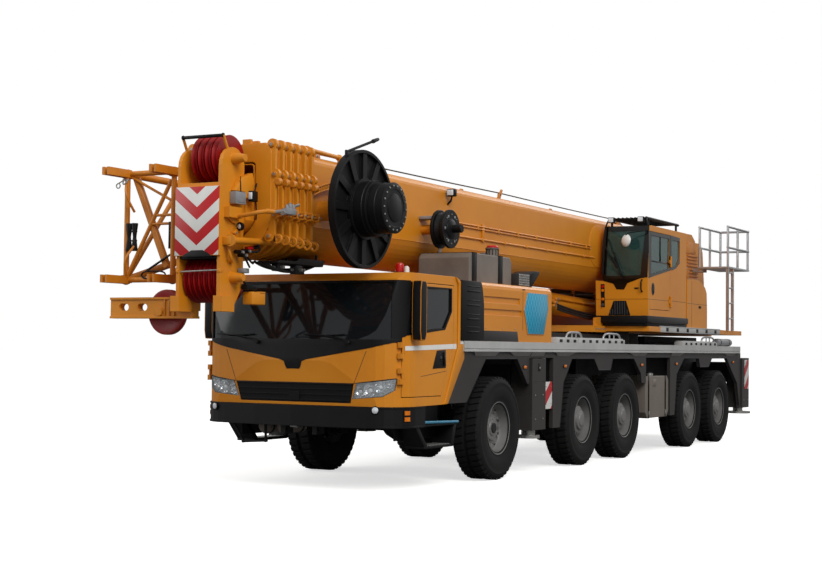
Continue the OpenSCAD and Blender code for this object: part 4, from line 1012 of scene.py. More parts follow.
# On the basic boom: stay rod, cable guide, reel arm, hose drum, pipes and weld
boomTrim = {"pipeZ": (3186, 3222), "pipeRun": (350, 5150), "drum": (-400, 3060)}
boomMesh = bmesh.new()
addTube(boomMesh, (450, -3040, 3738), (450, -2340, 3722), 24, 20, None, 0)
for y, z in ((-3030, 3738), (-2360, 3722)):
    addTube(boomMesh, (450, y - 20, z), (450, y + 20, z), 36, 18, None, 0, 3)
    addBox(boomMesh, (434, y - 16, 3620), (466, y + 16, z), 4, 0)
# ribbed cable guide on the side
for k in range(13):
    share = k / 12
    y, z = -3020 + 430 * share, 3262 + 118 * share + 14 * math.sin(math.pi * share)
    addBox(boomMesh, (482, y - 8, z - 34), (528, y + 8, z + 34), 3, 0)
for rise in (-32, 32):
    points = [(524, -3030 + 450 * i / 8, 3258 + 126 * i / 8 + 14 * math.sin(math.pi * i / 8) + rise)
              for i in range(9)]
    addHose(boomMesh, points, 9, 0)
# weld along the side and the doubling plate's rounded end
for side in (-1, 1):
    addHose(boomMesh, [(side * 480.5, y, 2902) for y in range(-2980, 9001, 600)], 4, 0)
    edge = sorted((side * 478, side * 488))
    arc = [(5100 + 330 * (1 - math.sin(math.pi * i / 12)), 3240 - 330 * math.cos(math.pi * i / 12))
           for i in range(13)]
    addPlate(boomMesh, [(8700, 2910), *arc, (8700, 3570)], "x", *edge, 3, 0)
# pipes with clips
for z in boomTrim["pipeZ"]:
    start, end = boomTrim["pipeRun"]
    addTube(boomMesh, (496, start, z), (496, end, z), 10, 12, None, 0)
for k in range(8):
    y = boomTrim["pipeRun"][0] + 120 + 640 * k
    addBox(boomMesh, (480, y - 16, boomTrim["pipeZ"][0] - 16), (508, y + 16, boomTrim["pipeZ"][1] + 16), 4, 0)
# lower pipe with its own clips and a joint plate
addTube(boomMesh, (494, 330, 3052), (494, 5300, 3052), 13, 12, None, 0)
for k in range(7):
    y = 520 + 720 * k
    addBox(boomMesh, (480, y - 14, 3030), (512, y + 14, 3074), 4, 0)
addBox(boomMesh, (480, 1250, 3020), (504, 1300, 3260), 5, 0)
# lug and rope rollers on the top
for y in (1180, 4200, 7000):
    addPlate(boomMesh, [(y - 60, 3678), (y + 60, 3678), (y + 34, 3740), (y - 34, 3740)], "x", 200, 222, 3, 0)
    addPlate(boomMesh, [(y - 60, 3678), (y + 60, 3678), (y + 34, 3740), (y - 34, 3740)], "x", -222, -200, 3,
             0)
    addTube(boomMesh, (-230, y, 3716), (230, y, 3716), 16, 16, None, 1)
finishPiece("boom_base_trim", boomMesh, (orangeEnamel, zincSteel), "boom_base")

drumMesh = bmesh.new()
dy, dz = boomTrim["drum"]
for x in (696, 836):
    addLathe(drumMesh, [(60, 0), (234, 0), (238, 6), (238, 34), (232, 38), (60, 38), (60, 0)], (x, dy, dz),
             (1, 0, 0), 48, 0)
addLathe(drumMesh, [(134, 0), (196, 0), (196, 102), (134, 102)], (734, dy, dz), (1, 0, 0), 48, 1)
for k in range(9):
    addLathe(drumMesh, [(192, 0), (202, 5.5), (192, 11)], (735 + 11 * k, dy, dz), (1, 0, 0), 48, 1)
addLathe(drumMesh, [(0.1, 150), (44, 150), (50, 142), (50, 30), (96, 22), (120, 10), (124, 0), (60, 0)],
         (872, dy, dz), (1, 0, 0), 40, 0)
addBolts(drumMesh, (874, dy, dz), (1, 0, 0), 180, 8, 9, 8, 3)
for k in range(6):
    turn = math.tau * k / 6
    addBox(drumMesh, (872, dy + 170 * math.cos(turn) - 16, dz + 170 * math.sin(turn) - 16),
           (880, dy + 170 * math.cos(turn) + 16, dz + 170 * math.sin(turn) + 16), 4, 2)
# bracket, hose tail and small lamp over the drum
addBox(drumMesh, (482, dy - 120, dz + 120), (700, dy + 60, dz + 160), 8, 2)
addHose(drumMesh, [(790, dy + 196, dz), (790, dy + 210, dz + 140), (720, dy + 260, dz + 200),
                   (560, dy + 420, dz + 150),
                   (500, dy + 640, dz + 128)], 12, 1)
addBox(drumMesh, (700, dy - 30, dz - 420), (730, dy + 30, dz - 60), 6, 3)
# work lamp on a bent bracket on the boom's side
addTube(drumMesh, (470, 260, 3430), (540, 235, 3480), 14, 12, None, 0, 3)
addTube(drumMesh, (540, 235, 3480), (556, 230, 3540), 12, 12, None, 0, 3)
addBox(drumMesh, (500, 176, 3530), (612, 262, 3626), 14, 0)
addBox(drumMesh, (512, 168, 3542), (600, 180, 3614), 8, 4)
finishPiece("hose_drum", drumMesh, (blackPlastic, hoseRubber, conduitGrey, zincSteel, frostLens),
            "boom_base")
print("boom dressed")

# Front end of the stowed lattice extension: diagonals, lugs, cone rollers and the hook ring
jibSet = {"tube": 15, "brace": 22, "thick": 42, "face": -3895}
face = jibSet["face"]
jibFront = bmesh.new()
addTube(jibFront, (-1280, face, 2335), (-700, face, 3360), jibSet["brace"], 20)
addTube(jibFront, (-1200, face + 40, 3395), (-765, face + 40, 2430), jibSet["thick"], 24)
addTube(jibFront, (-1240, face, 3415), (-690, face, 3142), jibSet["tube"])
addTube(jibFront, (-925, face, 2990), (-670, face, 2990), jibSet["tube"])
addTube(jibFront, (-952, face, 2898), (-670, face, 2898), jibSet["tube"])
addHose(jibFront, [(-1268, face - 30, 3418), (-1225, face - 130, 3290), (-1190, face - 130, 3160),
                   (-1169, face - 30, 3032)], 14)
addHose(jibFront, [(-1160, face - 30, 2668), (-1190, face - 130, 2560), (-1222, face - 130, 2430),
                   (-1250, face - 30, 2310)], 14)
for x, z in ((-660, 3440), (-1290, 3440), (-660, 2310), (-1290, 2310)):
    for side in (-26, 26):
        addPlate(jibFront, [(face - 70, z - 32), (face - 40, z - 42), (face + 60, z - 42),
                            (face + 60, z + 42),
                            (face - 40, z + 42), (face - 70, z + 32)], "x", x + side - 9, x + side + 9, 4)
    addTube(jibFront, (x - 46, face - 35, z), (x + 46, face - 35, z), 16, 16, None, 1, 3)
finishPiece("jib_front_braces", jibFront, [orangeCasting, zincSteel], "boom_base")

jibBlack = bmesh.new()
for x in (-1245, -1170):
    addLathe(jibBlack, [(0, 2612), (34, 2612), (36, 2622), (22, 2740), (20, 2762), (22, 2784), (36, 2902),
                        (34, 2912), (0, 2912)],
             (x, face - 20, 0), (0, 0, 1), 24)
addTube(jibBlack, (-1268, face - 20, 2822), (-1140, face - 20, 2822), 9)
addTube(jibBlack, (-1268, face - 20, 2722), (-1140, face - 20, 2722), 9)
addBox(jibBlack, (-708, face - 30, 2627), (-680, face - 8, 2914), 4)
addTube(jibBlack, (-1000, face - 15, 2397), (-690, face - 15, 2562), 12)
addHose(jibBlack, [(-1063, face - 28, 2350), (-1040, face - 34, 2386), (-900, face - 34, 2392),
                   (-760, face - 34, 2384),
                   (-728, face - 30, 2345), (-760, face - 34, 2312), (-900, face - 34, 2304),
                   (-1040, face - 34, 2312),
                   (-1063, face - 28, 2350)], 9)
finishPiece("jib_front_rollers", jibBlack, blackPlastic, "boom_base")

hookRing = bmesh.new()
ringTurns = [(-1318 + 26 * math.cos(math.tau * i / 12), face - 130,
              3312 + 26 * math.sin(math.tau * i / 12)) for i in range(13)]
addHose(hookRing, ringTurns, 7)
shackle = [(-1270, face - 95, 3375), (-1270, face - 120, 3340), (-1244, face - 130, 3322),
           (-1218, face - 120, 3340), (-1218, face - 95, 3375)]
addHose(hookRing, shackle, 8)
addTube(hookRing, (-1286, face - 92, 3378), (-1202, face - 92, 3378), 10)
addTube(hookRing, (-1318, face - 128, 3338), (-1262, face - 100, 3376), 7)
finishPiece("jib_hook_ring", hookRing, zincSteel, "boom_base")

# Folded auxiliary arm: cover over its sheave, three ribs across the arm and a sleeve on the guard bar
armSet = {"centre": (-700, -3880, 1950), "radius": 238, "ribs": (-626, -563, -499), "sleeve": 18}
armCover = bmesh.new()
rimOut = armSet["radius"]
addLathe(armCover, [(0, -4), (rimOut - 9, -4), (rimOut + 3, 6), (rimOut + 3, 26), (rimOut - 1, 32),
                    (rimOut - 1, 38),
                    (rimOut + 3, 44), (rimOut + 3, 64), (rimOut - 9, 74), (rimOut - 50, 76),
                    (rimOut - 62, 73), (0, 73)],
         armSet["centre"], (0, -1, 0), 56)
finishPiece("arm_sheave_cover", armCover, sheaveNylon, "boom_head")

armRibs = bmesh.new()
for x in armSet["ribs"]:
    addBox(armRibs, (x - 7, -4074, 1902), (x + 7, -4056, 2082), 3)
finishPiece("arm_ribs", armRibs, orangeCasting, "boom_head")

guardSleeve = bmesh.new()
addTube(guardSleeve, (-248, -4290, 3735), (248, -4290, 3735), armSet["sleeve"], 20, None, 0, 3)
for x in (-252, 252):
    addTube(guardSleeve, (x - 8, -4290, 3735), (x + 8, -4290, 3735), 24, 20, None, 0, 3)
finishPiece("guard_bar_sleeve", guardSleeve, blackPlastic, "boom_head")
print("jib front and folded arm built")

# Hoist rope along the boom's top, held between a front guide and a rear guide over a slanted lug
ropeSet = {"x": 300, "radius": 9, "front": (-2640, 3746), "lug": (2150, 3776), "rear": (6790, 3772),
           "anchor": 3690, "lead": 330}
guideMesh = bmesh.new()
for y, z in (ropeSet["front"], ropeSet["rear"]):
    for side in (-34, 34):
        addPlate(guideMesh, [(y - 70, 3664), (y + 70, 3664), (y + 40, z + 34), (y - 40, z + 34)], "x",
                 ropeSet["x"] + side - 7, ropeSet["x"] + side + 7, 3)
    addTube(guideMesh, (ropeSet["x"] - 44, y, z - 34), (ropeSet["x"] + 44, y, z - 34), 22, 18, None, 1, 3)
    addBox(guideMesh, (ropeSet["x"] - 30, y - 26, z - 14), (ropeSet["x"] + 30, y + 26, z + 30), 6, 1)
lugY, lugZ = ropeSet["lug"]
addPlate(guideMesh, [(lugY - 130, 3664), (lugY - 20, 3664), (lugY + 70, lugZ + 44), (lugY + 30, lugZ + 52)],
         "x", 318, 338, 3)
addTube(guideMesh, (290, lugY, lugZ - 28), (338, lugY, lugZ - 28), 18, 16, None, 1, 3)
finishPiece("rope_guides", guideMesh, (orangeCasting, zincSteel), "boom_base")

stops = (ropeSet["front"], ropeSet["lug"], ropeSet["rear"])
ropeLine = []
for (startY, startZ), (endY, endZ) in zip(stops, stops[1:]):
    for k in range(12):
        share = k / 12
        ropeLine.append((ropeSet["x"], startY + (endY - startY) * share,
                         startZ + (endZ - startZ) * share - 6 * math.sin(math.pi * share)))
ropeLine.append((ropeSet["x"], *ropeSet["rear"]))
# from each guide the rope eases down to its anchor on the boom's top
for end, sign in (("front", -1), ("rear", 1)):
    y, z = ropeSet[end]
    ease = [(k / 8) ** 2 * (3 - k / 4) for k in range(1, 9)]
    lead = [(ropeSet["x"], y + sign * ropeSet["lead"] * k / 8, z + (ropeSet["anchor"] - z) * share)
            for k, share in zip(range(1, 9), ease)]
    ropeLine = lead[::-1] + ropeLine if sign < 0 else ropeLine + lead
ropeMesh = bmesh.new()
addHose(ropeMesh, ropeLine, ropeSet["radius"], 0, False)
rope = finishPiece("hoist_rope", ropeMesh, ropeWire, "boom_base")

# Cable reel: guide arm above it and a bolted hub face
reelSet = {"centre": (-2750, 3090), "face": 1390, "bolts": 18, "ring": 238}
hubMesh = bmesh.new()
hubSpot = (reelSet["face"], *reelSet["centre"])
addLathe(hubMesh, [(0.1, 12), (142, 12), (150, 8), (152, 2), (200, 2), (204, 6), (262, 6), (274, 0),
                   (274, -18), (266, -22)],
         hubSpot, (1, 0, 0), 56, 0)
addBolts(hubMesh, (reelSet["face"] + 6, *reelSet["centre"]), (1, 0, 0), reelSet["ring"], reelSet["bolts"],
         10, 9, 1)
addLathe(hubMesh, [(300, -12), (304, 0), (300, 12)], (1194, *reelSet["centre"]), (1, 0, 0), 56, 0)
for x in (1150, 1290):
    addLathe(hubMesh, [(298 if x < 1190 else 268, -9), (306 if x < 1190 else 276, 0),
                       (298 if x < 1190 else 268, 9)],
             (x, *reelSet["centre"]), (1, 0, 0), 56, 0)
finishPiece("cable_reel_hub", hubMesh, (blackPlastic, zincSteel), "cable_reel")
armMesh = bmesh.new()
addTube(armMesh, (1000, -3098, 3673), (1000, -2560, 3850), 15, 16, None, 0)
addTube(armMesh, (1000, -2560, 3850), (1000, -2440, 3890), 24, 16, 18, 1, 4)
addBox(armMesh, (986, -3125, 3560), (1014, -3085, 3690), 5, 0)
finishPiece("reel_guide_arm", armMesh, (blackPlastic, hoseRubber), "boom_base")

# Hose tray and valve fittings under the front of the boom; the dark tray plates are painted shade that fills
# the boom's shaded underside, the hoses and fittings are real
shadeTrayMesh = bmesh.new()
# dark tray plates: painted shade below the boom
addBox(shadeTrayMesh, (60, -3380, 2488), (330, -2480, 2512), 6, 0)
addPlate(shadeTrayMesh, [(-3380, 2490), (-2480, 2490), (-2440, 2560), (-2960, 2560), (-3010, 2524),
                    (-3340, 2520)], "x", 318, 332, 4, 0)
addPlate(shadeTrayMesh, [(-3380, 2490), (-2480, 2490), (-2440, 2560), (-2960, 2560), (-3010, 2524),
                    (-3340, 2520)], "x", 58, 72, 4, 0)
for k in range(4):
    x = 100 + 58 * k
    addHose(shadeTrayMesh, [(x, -3480, 2500 - 10 * k), (x, -3400, 2470 - 14 * k), (x + 8, -3180, 2436 - 12 * k),
                       (x, -2900, 2440 - 6 * k),
                       (x - 10, -2620, 2470), (x, -2380, 2560)], 15, 1)
for y, z, x in ((-3260, 2440, 250), (-2980, 2420, 300), (-2780, 2430, 200)):
    addBox(shadeTrayMesh, (x - 44, y - 60, z - 34), (x + 44, y + 60, z + 60), 8, 1)
    addTube(shadeTrayMesh, (x + 40, y, z + 10), (x + 86, y, z + 10), 17, 12, None, 2, 3)
    addTube(shadeTrayMesh, (x, y - 88, z + 10), (x, y - 56, z + 10), 15, 6, None, 2)
addTube(shadeTrayMesh, (120, -2900, 2500), (120, -2900, 2620), 16, 12, None, 0)
addTube(shadeTrayMesh, (290, -2560, 2500), (290, -2560, 2620), 16, 12, None, 0)
finishPiece("boom_hose_shade_tray", shadeTrayMesh, (chassisGrey, hoseRubber, zincSteel), "boom_base")
print("rope, reel arm and hose tray built")

# Deck sides: chamfered lips over the arch panels, rubber edging, side markers, striped plates,
# deck trays and grab bars
deckTrim = {
    "edge": 1375, "panel": 1345, "lipTop": 1564, "lipLow": 1512,
    "lips": [(-743, -41, -664, -122), (261, 930, 450, 920), (946, 1370, 956, 1360),
             (1716, 2419, 1835, 2235), (4527, 5330, 4813, 5260),
             (6500, 7150, 6530, 6960), (9397, 10120, 9660, 10060)],
    "markers": [(761, 1372), (2084, 1377), (5128, 1379), (6782, 1389), (10004, 1404)],
    "arches": [[(-890, 972), (-380, 1480), (540, 1480), (850, 1160), (918, 1160)],
               [(1930, 566), (2050, 1167), (2185, 1303), (2340, 1480), (3160, 1480), (3344, 1314),
                (3812, 1314),
                (3900, 1480), (4790, 1480), (5100, 1250), (5138, 1104)],
               [(6712, 566), (6820, 1223), (6979, 1337), (7200, 1480), (7992, 1480), (8063, 1330),
                (8542, 1330),
                (8749, 1480), (9629, 1480), (9926, 1262), (10278, 1029), (10432, 612)]],
    "bars": [(2230, 2842), (3623, 4359), (8290, 9061)],
    "trays": [(1830, 2560), (2640, 4400), (7180, 9050)],
}
sideBands = stripedSheet("slanted_red_white_sheeting", 0.85, 0.36, 0.02, False)


def addWedge(mesh, top, low, zTop, zLow, back, side, index=0):
    # a lip that leans out: top and low are (y, y) pairs, back is the face it stands on
    before = set(mesh.faces)
    points = []
    for (first, last), z, reach in ((low, zLow, back + 3), (top, zTop, deckTrim["edge"] - 2)):
        for x in (back - 4, reach):
            points.append([mesh.verts.new(at(side * x, y, z)) for y in (first, last)])
    (a, b), (c, d), (e, f), (g, h) = points
    for ring in ((a, b, d, c), (e, g, h, f), (a, c, g, e), (b, f, h, d), (c, d, h, g), (a, e, f, b)):
        mesh.faces.new(ring)
    bmesh.ops.recalc_face_normals(mesh, faces=newFaces(mesh, before, index))


for sideName, side in (("left", 1), ("right", -1)):
    lips = bmesh.new()
    for front, rear, frontLow, rearLow in deckTrim["lips"]:
        addWedge(lips, (front, rear), (frontLow, rearLow), deckTrim["lipTop"], deckTrim["lipLow"],
                 deckTrim["panel"], side)
    # the lips take the lighter grey: painted highlight on the sky-facing chamfers
    finishPiece("arch_lips_" + sideName, lips, lipLitGrey, "carrier")

    edging = bmesh.new()
    for route in deckTrim["arches"]:
        for start, end in zip(route, route[1:]):
            addTube(edging, (side * 1340, *start), (side * 1340, *end), 9, 8)
    finishPiece("arch_edging_" + sideName, edging, hoseRubber, "carrier")

    markers = bmesh.new()
    for y, z in deckTrim["markers"]:
        addBox(markers, (side * 1344, y - 46, z - 24), (side * 1352, y + 46, z + 24), 3, 0)
        addBox(markers, (side * 1351, y - 38, z - 18), (side * 1364, y + 38, z + 18), 5, 1, 3)
    finishPiece("side_markers_" + sideName, markers, (blackPlastic, amberLens), "carrier")

    # striped plate on a folded bracket beside the front outrigger
    plate = bmesh.new()
    addBox(plate, (side * 1326, 1462, 812), (side * 1332, 1692, 1178), 1, 0)
    addBox(plate, (side * 1331.5, 1466, 818), (side * 1334, 1684, 1174), 0, 1)
    for z in (880, 1110):
        addTube(plate, (side * 1333, 1500, z), (side * 1337, 1500, z), 8, 10, None, 2)
        addTube(plate, (side * 1333, 1650, z), (side * 1337, 1650, z), 8, 10, None, 2)
    finishPiece("front_stripe_plate_" + sideName, plate, (panelGrey, sideBands, zincSteel), "carrier")

    rear = bmesh.new()
    body = "outrigger_rear_" + sideName
    addBox(rear, (side * 1374, 10660, 900), (side * 1378, 10950, 1450), 1, 0)
    addBox(rear, (side * 1377.5, 10666, 906), (side * 1380, 10944, 1444), 0, 1)
    finishPiece("rear_stripe_plate_" + sideName, rear, (panelGrey, sideBands), body)

    # covers of the outrigger boxes: chamfered top, hand hole, bolts and hoses' sockets
    for end, centre in (("front", 1160), ("rear", 10750)):
        cover = bmesh.new()
        outer = side * 1380
        addBox(cover, (side * 1374, centre - 208, 1180), (side * 1377, centre + 208, 1184), 0, 1)
        addBox(cover, (side * 1370, centre - 30, 1320), (outer, centre + 34, 1420), 4, 1)
        addBox(cover, (side * 1378, centre - 6, 1345), (side * 1386, centre + 26, 1372), 3, 2)
        for y, z in ((-120, 1010), (-120, 700), (120, 700), (120, 1010)):
            addBolts(cover, (side * 1375, centre + y, z), (side, 0, 0), 0, 1, 11, 8, 2)
        finishPiece("outrigger_cover_%s_%s" % (end, sideName), cover, (panelGrey, blackPlastic, zincSteel),
                    "outrigger_%s_%s" % (end, sideName))

    # deck trays and grab bars along the edge of the deck
    trays = bmesh.new()
    for front, rear in deckTrim["trays"]:
        addBox(trays, (side * 1180, front, 1688), (side * 1345, rear, 1752), 6, 0)
        addBox(trays, (side * 1200, front + 30, 1750), (side * 1325, rear - 30, 1768), 4, 0)
        count = int((rear - front) / 240)
        for i in range(count):
            y = front + (i + 0.5) * (rear - front) / count
            addBox(trays, (side * 1344, y - 45, 1700), (side * 1350, y + 45, 1740), 2, 1)
    for front, rear in deckTrim["bars"]:
        addHose(trays, [(side * 1290, front, 1690), (side * 1290, front + 20, 1790),
                        (side * 1290, front + 110, 1836),
                        (side * 1290, (front + rear) / 2, 1840), (side * 1290, rear - 110, 1836),
                        (side * 1290, rear - 20, 1790), (side * 1290, rear, 1690)], 15, 2)
        for y in (front + 0.38 * (rear - front), front + 0.62 * (rear - front)):
            addTube(trays, (side * 1290, y, 1700), (side * 1290, y, 1838), 10, 10, None, 2)
    # rolled load mat at the rear
    addTube(trays, (side * 1240, 9300, 1758), (side * 1240, 10110, 1758), 66, 24, None, 3, 8)
    for y in (9440, 9960):
        addTube(trays, (side * 1240, y - 16, 1758), (side * 1240, y + 16, 1758), 69, 24, None, 1)
    finishPiece("deck_trays_" + sideName, trays, (deckGrey, blackPlastic, railAluminium, conduitGrey),
                "carrier")
print("deck sides dressed")

# Engine hood: meshed side panel, plain lower panel, black intake housing, service tank with straps and filler
hoodTrim = {
    "face": 1362, "top": 2405, "deck": 1690,
    "panel": [(774, 2319), (1405, 2319), (1440, 2133), (1305, 1797), (803, 1797), (688, 2096)],
    "lower": [(-508, 1820), (486, 1820), (524, 1692), (-508, 1692)],
    "corner": [(-1452, 962), (-1366, 964), (-960, 1480), (-955, 1640), (-982, 2080), (-1008, 2290),
               (-1060, 2385),
               (-1186, 2431), (-1150, 2376), (-1112, 2340), (-1112, 1622)],
    "ribs": (1790, 1940, 2105, 2270), "straps": (-404, 336),
}


def meshedBlue(name, pitch, line):
    # sprayed blue panel with a raised diamond mesh in a lighter blue
    material, tree, principled, place = startMaterial(name, Roughness=0.32)
    parts = addNode(tree, "ShaderNodeSeparateXYZ", links={"Vector": place})
    marks = []
    for lean in (0.62, -0.62):
        slope = addNode(tree, "ShaderNodeMath", {"operation": "MULTIPLY_ADD", 1: lean},
                        {0: parts.outputs["Z"], 2: parts.outputs["Y"]})
        turns = addNode(tree, "ShaderNodeMath", {"operation": "DIVIDE", 1: pitch}, {0: slope.outputs[0]})
        share = addNode(tree, "ShaderNodeMath", {"operation": "FRACT"}, {0: turns.outputs[0]})
        marks.append(addNode(tree, "ShaderNodeMath", {"operation": "LESS_THAN", 1: line},
                             {0: share.outputs[0]}).outputs[0])
    either = addNode(tree, "ShaderNodeMath", {"operation": "MAXIMUM"}, {0: marks[0], 1: marks[1]})
    film = addNode(tree, "ShaderNodeTexNoise", {"Scale": 5.0, "Detail": 4.0}, {"Vector": place})
    tones = []
    for dark, light in (("#0f86ad", "#1799bf"), ("#57bdd6", "#6bcbe0")):
        tone = addNode(tree, "ShaderNodeValToRGB", links={"Fac": film.outputs["Fac"]})
        tone.color_ramp.elements[0].color = linear(dark)
        tone.color_ramp.elements[1].color = linear(light)
        tones.append(tone.outputs["Color"])
    mix = addNode(tree, "ShaderNodeMix", {"data_type": "RGBA"}, {"Factor": either.outputs[0]})
    tree.links.new(tones[0], mix.inputs["A"])
    tree.links.new(tones[1], mix.inputs["B"])
    tree.links.new(mix.outputs["Result"], principled.inputs["Base Color"])
    relief = addNode(tree, "ShaderNodeBump", {"Strength": 0.3, "Distance": 0.002},
                     {"Height": either.outputs[0]})
    tree.links.new(relief.outputs["Normal"], principled.inputs["Normal"])
    return material


blueMesh = meshedBlue("blue_mesh_panel_enamel", 0.085, 0.09)
for sideName, side in (("left", 1), ("right", -1)):
    face = hoodTrim["face"]
    panel = bmesh.new()
    addPlate(panel, hoodTrim["panel"], "x", side * (face + 9), side * (face + 12), 1, 0)
    addPlate(panel, hoodTrim["lower"], "x", side * (face - 1), side * (face + 4), 1, 1)
    addBox(panel, (side * (face - 2), 655, 1840), (side * (face + 1.5), 660, 2330), 0, 2)
    addBox(panel, (side * (face - 2), 640, 2352), (side * (face + 6), 720, 2362), 2, 2)
    for y in (-420, 60, 420):
        addBolts(panel, (side * face, y, 1850), (side, 0, 0), 0, 1, 8, 5, 3)
    finishPiece("hood_side_panels_" + sideName, panel, (blueMesh, panelGrey, blackPlastic, zincSteel),
                "carrier")

    # moulded intake housing over the column behind the cab
    intake = bmesh.new()
    addPlate(intake, [(-1074, 1692), (-470, 1692), (-478, 2130), (-520, 2330), (-560, 2400), (-1074, 2400)],
             "x",
             side * 1326, side * 1368, 8)
    for z in hoodTrim["ribs"]:
        addBox(intake, (side * 1364, -930, z), (side * 1376, -600, z + 16), 4)
        addBox(intake, (side * 1364, -930, z + 60), (side * 1372, -600, z + 68), 2)
    addBox(intake, (side * 300, -1072, 2390), (side * 1330, -562, 2402), 5)
    finishPiece("intake_housing_" + sideName, intake, blackPlastic, "carrier")

    # rear corner panel of the driver's cab
    corner = bmesh.new()
    addPlate(corner, hoodTrim["corner"], "x", side * 1320, side * 1350, 9)
    addBox(corner, (side * 1348, -1070, 1652), (side * 1351.5, -958, 1700), 1, 1)
    finishPiece("cab_corner_" + sideName, corner, (orangeEnamel, markWhite), "carrier")

# service tank: two steel straps on rubber, filler neck with a red cap, guarded cooler box and deflector
tankGear = bmesh.new()
for y in hoodTrim["straps"]:
    for low, high, index in ((-62, 62, 0), (-8, 8, 1)):
        rise = 2 if index else 0
        addBox(tankGear, (1188, y + low, 2406), (1197 + rise, y + high, 2768 + rise), 2, index)
        addBox(tankGear, (505, y + low, 2758), (1197 + rise, y + high, 2768 + rise), 2, index)
addLathe(tankGear, [(0, 0), (92, 0), (92, 20), (78, 26), (78, 104), (90, 108), (90, 122), (0, 124)],
         (1010, 480, 2758), (0, 0, 1), 32, 2)
addLathe(tankGear, [(0, 0), (74, 0), (76, 14), (62, 30), (0, 34)], (1010, 480, 2880), (0, 0, 1), 32, 3)
for i in range(12):
    turn = math.tau * i / 12
    addTube(tankGear, (1010 + 80 * math.cos(turn), 480 + 80 * math.sin(turn), 2786),
            (1010 + 80 * math.cos(turn), 480 + 80 * math.sin(turn), 2862), 5, 6, None, 1)
finishPiece("service_tank_gear", tankGear, (blackPlastic, hoseRubber, tankGrey, markRed), "carrier")

guard = bmesh.new()
addBox(guard, (960, 760, 2404), (1250, 1110, 2570), 8, 0)
for i in range(9):
    y = 790 + i * 37
    addTube(guard, (1250, y, 2415), (1250, y, 2562), 4, 6, None, 1)
for i in range(5):
    addTube(guard, (1250, 780, 2425 + i * 32), (1250, 1096, 2425 + i * 32), 4, 6, None, 1)
addPlate(guard, [(1105, 2404), (1180, 2404), (1420, 2585), (1440, 2622), (1290, 2622), (1105, 2560)], "x",
         960, 1250, 5, 2)
finishPiece("cooler_guard", guard, (panelGrey, zincSteel, blackPlastic), "carrier")

# fuel tanks: straps, filler cap and seam
for sideName, side in (("left", 1), ("right", -1)):
    fuel = bmesh.new()
    for y in (5500, 6290):
        addBox(fuel, (side * 1326, y - 22, 640), (side * 1335, y + 22, 1130), 2, 0)
        addBox(fuel, (side * 700, y - 22, 1196), (side * 1335, y + 22, 1206), 2, 0)
        addBox(fuel, (side * 700, y - 22, 545), (side * 1335, y + 22, 555), 2, 0)
        addBox(fuel, (side * 1326, y - 22, 552), (side * 1335, y + 22, 1204), 2, 0)
        addTube(fuel, (side * 1338, y, 600), (side * 1338, y, 660), 9, 8, None, 1)
    addTube(fuel, (side * 1240, 5800, 1195), (side * 1240, 5800, 1240), 52, 24, None, 1, 4)
    addTube(fuel, (side * 1240, 5800, 1238), (side * 1240, 5800, 1262), 40, 24, None, 0, 4)
    addBox(fuel, (side * 1324, 5690, 1040), (side * 1334, 5850, 1150), 3, 2)
    finishPiece("fuel_tank_gear_" + sideName, fuel, (hoseRubber, zincSteel, tankGrey), "carrier")
print("hood and tanks dressed")

# Operator's cab: black window surrounds, wipers, lamp column, mirror, roof guard and door handle
opTrim = {
    "outer": 1330,
    "surround": [[(588, 3553), (1329, 3553), (1329, 3478), (588, 3478)],
                 [(588, 3480), (648, 3480), (648, 2762), (588, 2722)],
                 [(1268, 3480), (1329, 3480), (1329, 2742), (1212, 2724), (1212, 2772)],
                 [(588, 2764), (1214, 2774), (1214, 2724), (588, 2722)]],
    "notch": [(588, 2723), (1214, 2725), (1000, 2651), (940, 2552), (815, 2556), (768, 2642), (588, 2694)],
    "recess": [(763, 2377), (970, 2376), (1038, 2148), (672, 2148)],
    "doorFrame": [[(5538, 3462), (6502, 3462), (6502, 3408), (5538, 3408)],
                  [(5538, 3410), (5592, 3410), (5592, 2788), (5538, 2740)],
                  [(6448, 3410), (6502, 3410), (6502, 2902), (6448, 2918)],
                  [(5538, 2742), (6502, 2900), (6448, 2924), (5590, 2794)]],
    "wallFrame": [[(5462, 3452), (5532, 3476), (5532, 2738), (5470, 2728)],
                  [(6514, 3470), (6572, 3470), (6572, 2944), (6514, 2900)],
                  [(6570, 3470), (6985, 3460), (6985, 3398), (6570, 3398)],
                  [(6570, 2954), (6850, 2994), (6962, 3112), (6962, 3400), (6990, 3400), (6990, 3040),
                   (6800, 2950), (6570, 2902)]],
    "wipers": [((930, 2762), (690, 3360)), ((900, 2790), (640, 3240))],
}


def opFront(z):
    return 5430 + (z - 2720) * 70 / 780 if z > 2720 else 5470 - (z - 2140) * 40 / 580


def addFrontPlate(mesh, outline, off, thick, index=0):
    # a plate that follows the leaning front of the operator's cab
    before = set(mesh.faces)
    near = [mesh.verts.new(at(x, opFront(z) - off - thick, z)) for x, z in outline]
    base = mesh.faces.new(near)
    grown = bmesh.ops.extrude_face_region(mesh, geom=[base])["geom"]
    raised = [item for item in grown if isinstance(item, bmesh.types.BMVert)]
    bmesh.ops.translate(mesh, vec=(0, thick / 1000, 0), verts=raised)
    bmesh.ops.recalc_face_normals(mesh, faces=newFaces(mesh, before, index))


surround = bmesh.new()
for outline in opTrim["surround"] + [opTrim["notch"]]:
    addFrontPlate(surround, outline, -2, 8)
for outline in opTrim["wallFrame"]:
    addPlate(surround, outline, "x", opTrim["outer"] - 2, opTrim["outer"] + 4, 0)
finishPiece("op_cab_surround", surround, blackLacquer, "superstructure")

doorFrame = bmesh.new()
for outline in opTrim["doorFrame"]:
    addPlate(doorFrame, outline, "x", opTrim["outer"] - 2, opTrim["outer"] + 4, 0, 0)
